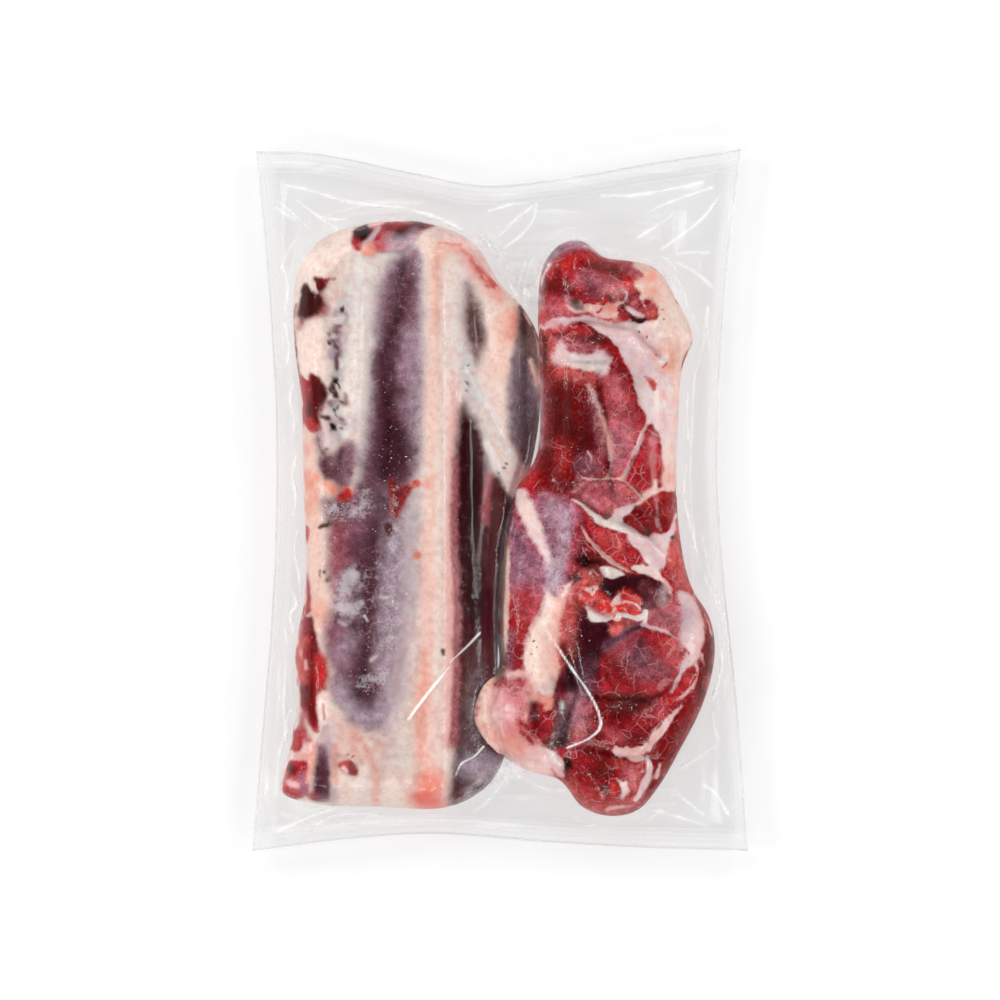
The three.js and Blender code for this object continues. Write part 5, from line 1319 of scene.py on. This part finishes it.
def make_film():
    """The pouch's film as one closed surface: the top film, the bottom film and the free edge between them."""
    across, along = FILM_CELLS
    u, v = np.meshgrid(np.linspace(0, 1, across + 1), np.linspace(0, 1, along + 1))
    place = pouch_patch(u, v)
    x, y = place[..., 0], place[..., 1]
    depths = {name: depth_in_ring(x, y, piece["ring"]) for name, piece in PIECES.items()}
    away = np.maximum(0, -np.maximum(*depths.values()))
    curl = CORNER_LIFT * np.abs(2 * u - 1) ** 4 * np.abs(2 * v - 1) ** 4
    middle = mix(RIM_HEIGHT + curl, SEAM_HEIGHT, np.exp(-away / DROOP_LENGTH))
    from_end = np.minimum(v, 1 - v) * POUCH_LENGTH
    from_side = np.minimum(u, 1 - u) * POUCH_WIDTH
    loose = smooth((from_end - END_SEAL) / SIDE_SEAL) * smooth((from_side - SIDE_SEAL) / SIDE_SEAL)
    half = mix(SEAL_THICKNESS, SKIRT_THICKNESS, loose) / 2
    fold = np.max([np.exp(-((distance_to_path(x, y, f) / FOLD_WIDTH) ** 2)) for f in FOLDS], axis=0)
    softness = mix(CREASE_SOFTNESS, LOOSE_SOFTNESS, smooth(away / 2))
    crease = np.max([depth_in_band(x, y, c) / (2 * softness) for c in CREASES], axis=0)
    crease = (crease + mix(CREASE_START, LOOSE_START, smooth(away / 2)) + 0.12 * rough(x, y, 0, 5, 83)).clip(0, 1)
    # Painted reflection: pale streaks in the loose film, running along its sides and along its ends.
    by_end = smooth((from_side - from_end) / 10 + 0.5)
    sheen_streak = mix(rough(x, y / 7, 0, 4, 85), rough(x / 7, y, 0, 4, 87), by_end) * smooth(away / 3)
    hazes = [strength * smooth(0.5 + depth_in_shape(x, y, shape) / (2 * soft)) for strength, soft, shape in HAZES]
    haze = np.max(hazes, axis=0)
    ripple = loose * (0.6 * rough(x, y / 2, 0, 14, 61) + 0.22 * rough(x, y / 2, 0, 4, 67)) * smooth(away / 5)
    floor = middle + half + loose * FOLD_RISE * fold + ripple
    ceiling = middle - half
    for name, piece in PIECES.items():
        depth = depths[name] + FILM_CLEARANCE
        held = depth > 0
        high = top_of(piece, x, y, depth)
        if name == "boned_loin":
            high = over_flap(high, x, y, np.maximum(depths[name], 0))
        high += FILM_GAP + FAT_RISE + lumps_of(name, x, y) * smooth(depth / 6)
        floor = np.where(held, np.maximum(floor, high), floor)
        ceiling = np.where(held, np.minimum(ceiling, underside_of(piece, depth) - FILM_GAP), ceiling)
    floor = np.maximum(floor, FILM_GAP + FAT_RISE + lapped_top(x, y, np.maximum(depths["boned_loin"], 0)))
    top = settle(floor, SPAN_RADIUS) + CREASE_RISE * crease
    under = -settle(-ceiling, UNDER_SPAN_RADIUS)

    number = np.arange(x.size).reshape(x.shape)
    sparse = (slice(None, None, 2), slice(None, None, 2))
    coarse = np.full(x.shape, -1)
    coarse[sparse] = x.size + np.arange(coarse[sparse].size).reshape(coarse[sparse].shape)
    points = np.vstack(
        [
            np.column_stack([x.ravel(), y.ravel(), top.ravel()]),
            np.column_stack([x[sparse].ravel(), y[sparse].ravel(), under[sparse].ravel()]),
        ]
    )
    quads = np.stack([number[:-1, :-1], number[:-1, 1:], number[1:, 1:], number[1:, :-1]], axis=-1)
    c = coarse[sparse]
    under_quads = np.stack([c[:-1, :-1], c[1:, :-1], c[1:, 1:], c[:-1, 1:]], axis=-1)
    quads, under_quads = quads.reshape(-1, 4), under_quads.reshape(-1, 4)
    rim = [(0, k) for k in range(across)] + [(k, across) for k in range(along)]
    rim += [(along, across - k) for k in range(across)] + [(along - k, 0) for k in range(along)]
    rim.append(rim[0])
    edge = [
        [coarse[a], coarse[d], number[d], number[b], number[a]] for a, b, d in zip(rim[::2], rim[1::2], rim[2::2])
    ]

    def both(values):
        return np.concatenate([values.ravel(), values[sparse].ravel()])

    # The map has the top film in its left half, the bottom film in its right half and the edge round the top film.
    inner = np.column_stack([both(u), both(v)]) * 0.96 + 0.02
    outer = np.column_stack([both(u), both(v)]) * 0.99 + 0.005
    edge = np.array(edge)
    edge_map = np.where((edge < x.size)[..., None], inner[edge], outer[edge])
    halves = [inner[quads] * (0.5, 1), inner[under_quads] * (0.5, 1) + (0.5, 0), edge_map * (0.5, 1)]
    corner_map = np.vstack([half_map.reshape(-1, 2) for half_map in halves])
    made = make_mesh("pouch_film", points, [*quads, *under_quads, *edge], corner_map)
    rounded = np.arange(len(made.data.polygons)) < len(quads) + len(under_quads)
    made.data.polygons.foreach_set("use_smooth", rounded)
    near = np.maximum(0, np.maximum(*depths.values()))
    give(made.data, "crease", both(crease))
    give(made.data, "haze", both(haze))
    give(made.data, "sheen_streak", both(sheen_streak))
    give(made.data, "from_end", both(from_end))
    give(made.data, "from_side", both(from_side))
    give(made.data, "over_meat", both(smooth(near / 3)))
    give(made.data, "away", both(away))
    return made


class Nodes:
    """A material's nodes, made one by one. An input is a number, a colour or another node's output."""

    def __init__(self, name):
        self.material = bpy.data.materials.new(name)
        self.material.use_nodes = True
        self.tree = self.material.node_tree
        self.tree.nodes.clear()
        self.where = self.add("ShaderNodeTexCoord").outputs["Object"]

    def add(self, kind, inputs=None, **settings):
        node = self.tree.nodes.new(kind)
        for key, value in settings.items():
            setattr(node, key, value)
        for key, value in (inputs or {}).items():
            if isinstance(value, bpy.types.NodeSocket):
                self.tree.links.new(value, node.inputs[key])
            else:
                node.inputs[key].default_value = value
        return node

    def math(self, operation, a, b=0.0, clamp=False):
        return self.add("ShaderNodeMath", {0: a, 1: b}, operation=operation, use_clamp=clamp).outputs[0]

    def value(self, name):
        return self.add("ShaderNodeAttribute", attribute_name=name).outputs["Fac"]

    def colour(self, name):
        return self.add("ShaderNodeAttribute", attribute_name=name).outputs["Color"]

    def step(self, value, low, high):
        """0 at low, 1 at high, smooth between."""
        inputs = {"Value": value, "From Min": low, "From Max": high}
        return self.add("ShaderNodeMapRange", inputs, interpolation_type="SMOOTHSTEP").outputs[0]

    def blend(self, factor, a, b, kind="MIX"):
        inputs = {0: factor, 6: a, 7: b}
        return self.add("ShaderNodeMix", inputs, data_type="RGBA", blend_type=kind).outputs[2]

    def noise(self, size, detail=2.0):
        """Noise from 0 to 1 whose bumps are about size millimetres apart."""
        inputs = {"Vector": self.where, "Scale": 1 / (size * MM), "Detail": detail}
        return self.add("ShaderNodeTexNoise", inputs).outputs["Fac"]

    def cells(self, size, warp):
        """Distance to the nearest edge of Voronoi cells of that size, whose edges wander by the warp."""
        inputs = {"Vector": self.where, "Scale": 1 / (size * MM), "Detail": 2.0}
        wander = self.add("ShaderNodeTexNoise", inputs).outputs["Color"]
        inputs = {0: wander, 1: (warp * MM,) * 3, 2: (-warp * MM / 2,) * 3}
        wander = self.add("ShaderNodeVectorMath", inputs, operation="MULTIPLY_ADD").outputs[0]
        where = self.add("ShaderNodeVectorMath", {0: self.where, 1: wander}, operation="ADD").outputs[0]
        inputs = {"Vector": where, "Scale": 1 / (size * MM)}
        return self.add("ShaderNodeTexVoronoi", inputs, feature="DISTANCE_TO_EDGE").outputs["Distance"]

    def bump(self, height, distance, strength=1.0):
        inputs = {"Height": height, "Distance": distance * MM, "Strength": strength}
        return self.add("ShaderNodeBump", inputs).outputs[0]

    def finish(self, shader):
        self.add("ShaderNodeOutputMaterial", {"Surface": shader})
        return self.material


def meat_material(name, web_amount, crisp):
    """Raw meat: lean and fat with a broken edge between them, marbling, frost, a wet surface and pale specks,
    partly painted glints.

    crisp, from 0 to 1, says how broken that edge and how mottled the lean is.
    """
    n = Nodes(name)
    tissue, frost = n.value("tissue"), n.value("frost")
    fine = n.noise(1.1, 3)
    mid = n.noise(3.2, 2)
    coarse = n.noise(9, 2)
    edge = n.math("MULTIPLY", n.math("SUBTRACT", fine, 0.5), 0.9 * crisp**2)
    edge = n.math("ADD", edge, n.math("MULTIPLY", n.math("SUBTRACT", mid, 0.5), 1.2 * crisp))
    fat_share = n.step(n.math("ADD", tissue, edge), crisp - 1.45, 1.45 - crisp)

    # Lean: darker and lighter patches, and a web of fine pale lines.
    shade = n.math("ADD", n.math("MULTIPLY", mid, 0.8), n.math("MULTIPLY", fine, 0.8))
    shade = n.math("ADD", shade, n.math("MULTIPLY", coarse, 0.4))
    dark = 1 - 0.6 * crisp
    light = 1 + 0.75 * crisp
    dark_tone = (dark + 0.08, dark, dark, 1)
    light_tone = (light - 0.2 * crisp, light, light, 1)
    tone = n.blend(n.step(shade, 0.65, 1.35), dark_tone, light_tone)
    lean = n.blend(1.0, n.colour("lean_colour"), tone, "MULTIPLY")
    web = n.step(n.cells(2.4, 1.3), 0.07, 0.01)
    web = n.math("MULTIPLY", web, n.math("MULTIPLY", n.step(n.noise(6, 2), 0.48, 0.64), 0.7))
    veins = n.step(n.cells(8, 5), 0.04, 0.01)
    veins = n.math("MULTIPLY", veins, n.step(n.noise(8, 1), 0.48, 0.56))
    web = n.math("MAXIMUM", web, veins)
    # Pale specks in the lean: fine marbling, and painted glints of its wet surface.
    specks_and_glints = n.step(n.noise(0.8, 1), 0.66, 0.76)
    marbling = n.math("MAXIMUM", n.math("MULTIPLY", web, web_amount), n.math("MULTIPLY", specks_and_glints, 0.5 * web_amount))
    marbling = n.math("MULTIPLY", marbling, n.step(n.value("lean_colour"), 0.01, 0.13))
    lean = n.blend(marbling, lean, (0.62, 0.3, 0.31, 1))

    # Fat: soft blotches and a grain of small lobes.
    fat = n.colour("fat_colour")
    tone = n.blend(n.step(mid, 0.4, 0.68), (1.02, 1.04, 1.04, 1), (0.97, 0.87, 0.85, 1))
    fat = n.blend(1.0, fat, tone, "MULTIPLY")
    tone = n.blend(n.step(fine, 0.35, 0.7), (0.98, 0.96, 0.955, 1), (1.01, 1.02, 1.02, 1))
    fat = n.blend(1.0, fat, tone, "MULTIPLY")
    colour = n.blend(fat_share, lean, fat)

    # Frost: pale speckles where ice and trapped air dull the lean.
    ice = n.math("ADD", n.math("MULTIPLY", fine, 0.5), n.math("MULTIPLY", mid, 0.5))
    ice = n.step(n.math("ADD", ice, n.math("MULTIPLY", frost, 0.32)), 0.6, 0.95)
    ice = n.math("MULTIPLY", ice, n.step(frost, 0.0, 0.4))
    colour = n.blend(n.math("MULTIPLY", ice, 0.8), colour, (0.74, 0.66, 0.7, 1))

    relief = n.math("ADD", n.math("MULTIPLY", fine, 0.6), n.math("MULTIPLY", mid, 0.9))
    inputs = {
        "Base Color": colour,
        "Roughness": n.add("ShaderNodeMapRange", {"Value": fine, "To Min": 0.3, "To Max": 0.5}).outputs[0],
        "Specular IOR Level": 0.07,
        "Normal": n.bump(relief, 0.5, 0.6),
    }
    return n.finish(n.add("ShaderNodeBsdfPrincipled", inputs).outputs[0])


def film_material():
    """Clear film: see-through with a sheen and ribbed in its seals, with painted light: white creases, partly the
    film's own whitening, pale streaks in the loose film, a pale free edge, glints over the meat and a faint pale
    band beside it.
    """
    n = Nodes("film")
    crease = n.step(n.value("crease"), 0.36, 0.84)
    over_meat, away = n.value("over_meat"), n.value("away")
    from_end, from_side = n.value("from_end"), n.value("from_side")

    def ribs(distance, pitch, width):
        wave = n.math("SINE", n.math("MULTIPLY", distance, 2 * math.pi / pitch))
        return n.math("MULTIPLY", wave, n.step(distance, width, width - 1.5))

    ribbed = n.math("ADD", ribs(from_end, 2.4, END_SEAL - 1), ribs(from_side, 1.9, SIDE_SEAL))
    height = n.math("ADD", n.math("MULTIPLY", n.noise(2.6, 2), 0.6), n.math("MULTIPLY", ribbed, 0.3))
    normal = n.bump(height, 0.35, 0.5)

    clear = n.add("ShaderNodeBsdfTransparent", {"Color": (0.972, 0.97, 0.97, 1)}).outputs[0]
    gloss = n.add("ShaderNodeBsdfGlossy", {"Roughness": 0.1, "Normal": normal}).outputs[0]
    fresnel = n.add("ShaderNodeFresnel", {"IOR": 1.24}).outputs[0]
    film = n.add("ShaderNodeMixShader", {0: fresnel, 1: clear, 2: gloss}).outputs[0]
    white = n.add("ShaderNodeBsdfDiffuse", {"Color": (0.95, 0.95, 0.95, 1)}).outputs[0]
    # Painted highlight: white along the creases, partly the whitening of creased film.
    haze = n.math("MULTIPLY", crease, 0.72)
    # Painted reflection: the pale streaks in the loose film.
    haze = n.math("ADD", haze, n.math("MULTIPLY", n.step(n.value("sheen_streak"), 0.05, 0.6), 0.2))
    # Painted highlight: a pale line along the free edge, laid over the shade of its edge faces.
    rim = n.step(n.math("MINIMUM", from_end, from_side), 0.9, 0.1)
    haze = n.math("ADD", haze, n.math("MULTIPLY", rim, 0.5))
    cloud = n.math("ADD", n.math("MULTIPLY", n.noise(1.8, 2), 0.4), n.math("MULTIPLY", n.noise(6, 2), 0.7))
    cloud = n.math("MULTIPLY", n.value("haze"), n.step(cloud, 0.36, 0.8))
    haze = n.math("MAXIMUM", haze, cloud)
    # White specks on the film over the meat: painted glints, partly trapped bubbles.
    bubbles_and_glints = n.math("MULTIPLY", n.step(n.noise(0.75, 0), 0.76, 0.82), n.step(n.noise(11, 2), 0.46, 0.6))
    haze = n.math("ADD", haze, n.math("MULTIPLY", bubbles_and_glints, n.math("MULTIPLY", over_meat, 0.5)))
    haze = n.math("ADD", haze, n.math("MULTIPLY", n.step(ribbed, 0.2, 1.0), 0.08))
    # Painted light: a faint pale band in the loose film beside the meat, lifting the shade at its border.
    border_light = n.math("MULTIPLY", n.step(away, 5, 0), n.math("SUBTRACT", 1.0, over_meat))
    haze = n.math("ADD", haze, n.math("MULTIPLY", border_light, 0.05), clamp=True)
    return n.finish(n.add("ShaderNodeMixShader", {0: haze, 1: film, 2: white}).outputs[0])


for piece_name, web_amount, crisp in (("rib_loin", 0.25, 0.5), ("boned_loin", 0.65, 0.85)):
    meat = make_piece(piece_name)
    meat.data.materials.append(meat_material(piece_name, web_amount, crisp))
    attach(meat, "root")
    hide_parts(PACK)
film = make_film()
film.data.materials.append(film_material())
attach(film, "root")
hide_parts(PACK)


# The stage: a plain white floor, soft light and the photograph's view from straight above.
PHOTO_SPAN = 500 * MM  # the frame's width at the height of the skirt
LENS = 150
SENSOR = 36
SKIRT_LEVEL = 8 * MM
SKY = 0.14
LAMP_RING = 1.35
LAMP_HEIGHT = 1.05
LAMP_SIZE = 0.5
LAMPS = [(0, 9.5), (50, 8), (100, 7.5), (150, 10.5), (195, 9.5), (250, 8), (305, 8.5)]  # degrees round, watts
FLOOR_GLOW = 0.61


def make_stage():
    bpy.ops.mesh.primitive_plane_add(size=6, location=(0, 0, -0.0003))
    floor = bpy.context.object
    floor.name = "floor"
    n = Nodes("floor")
    inputs = {
        "Base Color": (0.3, 0.3, 0.3, 1),
        "Roughness": 1.0,
        "Specular IOR Level": 0.0,
        "Emission Color": (1, 1, 1, 1),
        "Emission Strength": FLOOR_GLOW,
    }
    shader = n.add("ShaderNodeBsdfPrincipled", inputs)
    floor.data.materials.append(n.finish(shader.outputs[0]))

    camera = bpy.data.cameras.new("camera")
    camera.lens, camera.sensor_width = LENS, SENSOR
    view = bpy.data.objects.new("camera", camera)
    view.location = (0, 0, SKIRT_LEVEL + PHOTO_SPAN * LENS / SENSOR)
    camera.clip_end = 50
    bpy.context.scene.collection.objects.link(view)
    bpy.context.scene.camera = view

    world = bpy.data.worlds.new("world")
    bpy.context.scene.world = world
    world.use_nodes = True
    sky = world.node_tree.nodes["Background"]
    sky.inputs["Color"].default_value = (1, 1, 1, 1)
    sky.inputs["Strength"].default_value = SKY
    for turn, watts in LAMPS:
        lamp = bpy.data.lights.new("lamp", "AREA")
        lamp.shape, lamp.size, lamp.energy = "SQUARE", LAMP_SIZE, watts
        holder = bpy.data.objects.new("lamp", lamp)
        turn = math.radians(turn)
        place = (LAMP_RING * math.cos(turn), LAMP_RING * math.sin(turn), LAMP_HEIGHT)
        holder.location = place
        holder.rotation_euler = (-Vector(place)).to_track_quat("-Z", "Y").to_euler()
        bpy.context.scene.collection.objects.link(holder)


make_stage()
bpy.context.scene.view_settings.view_transform = "Standard"
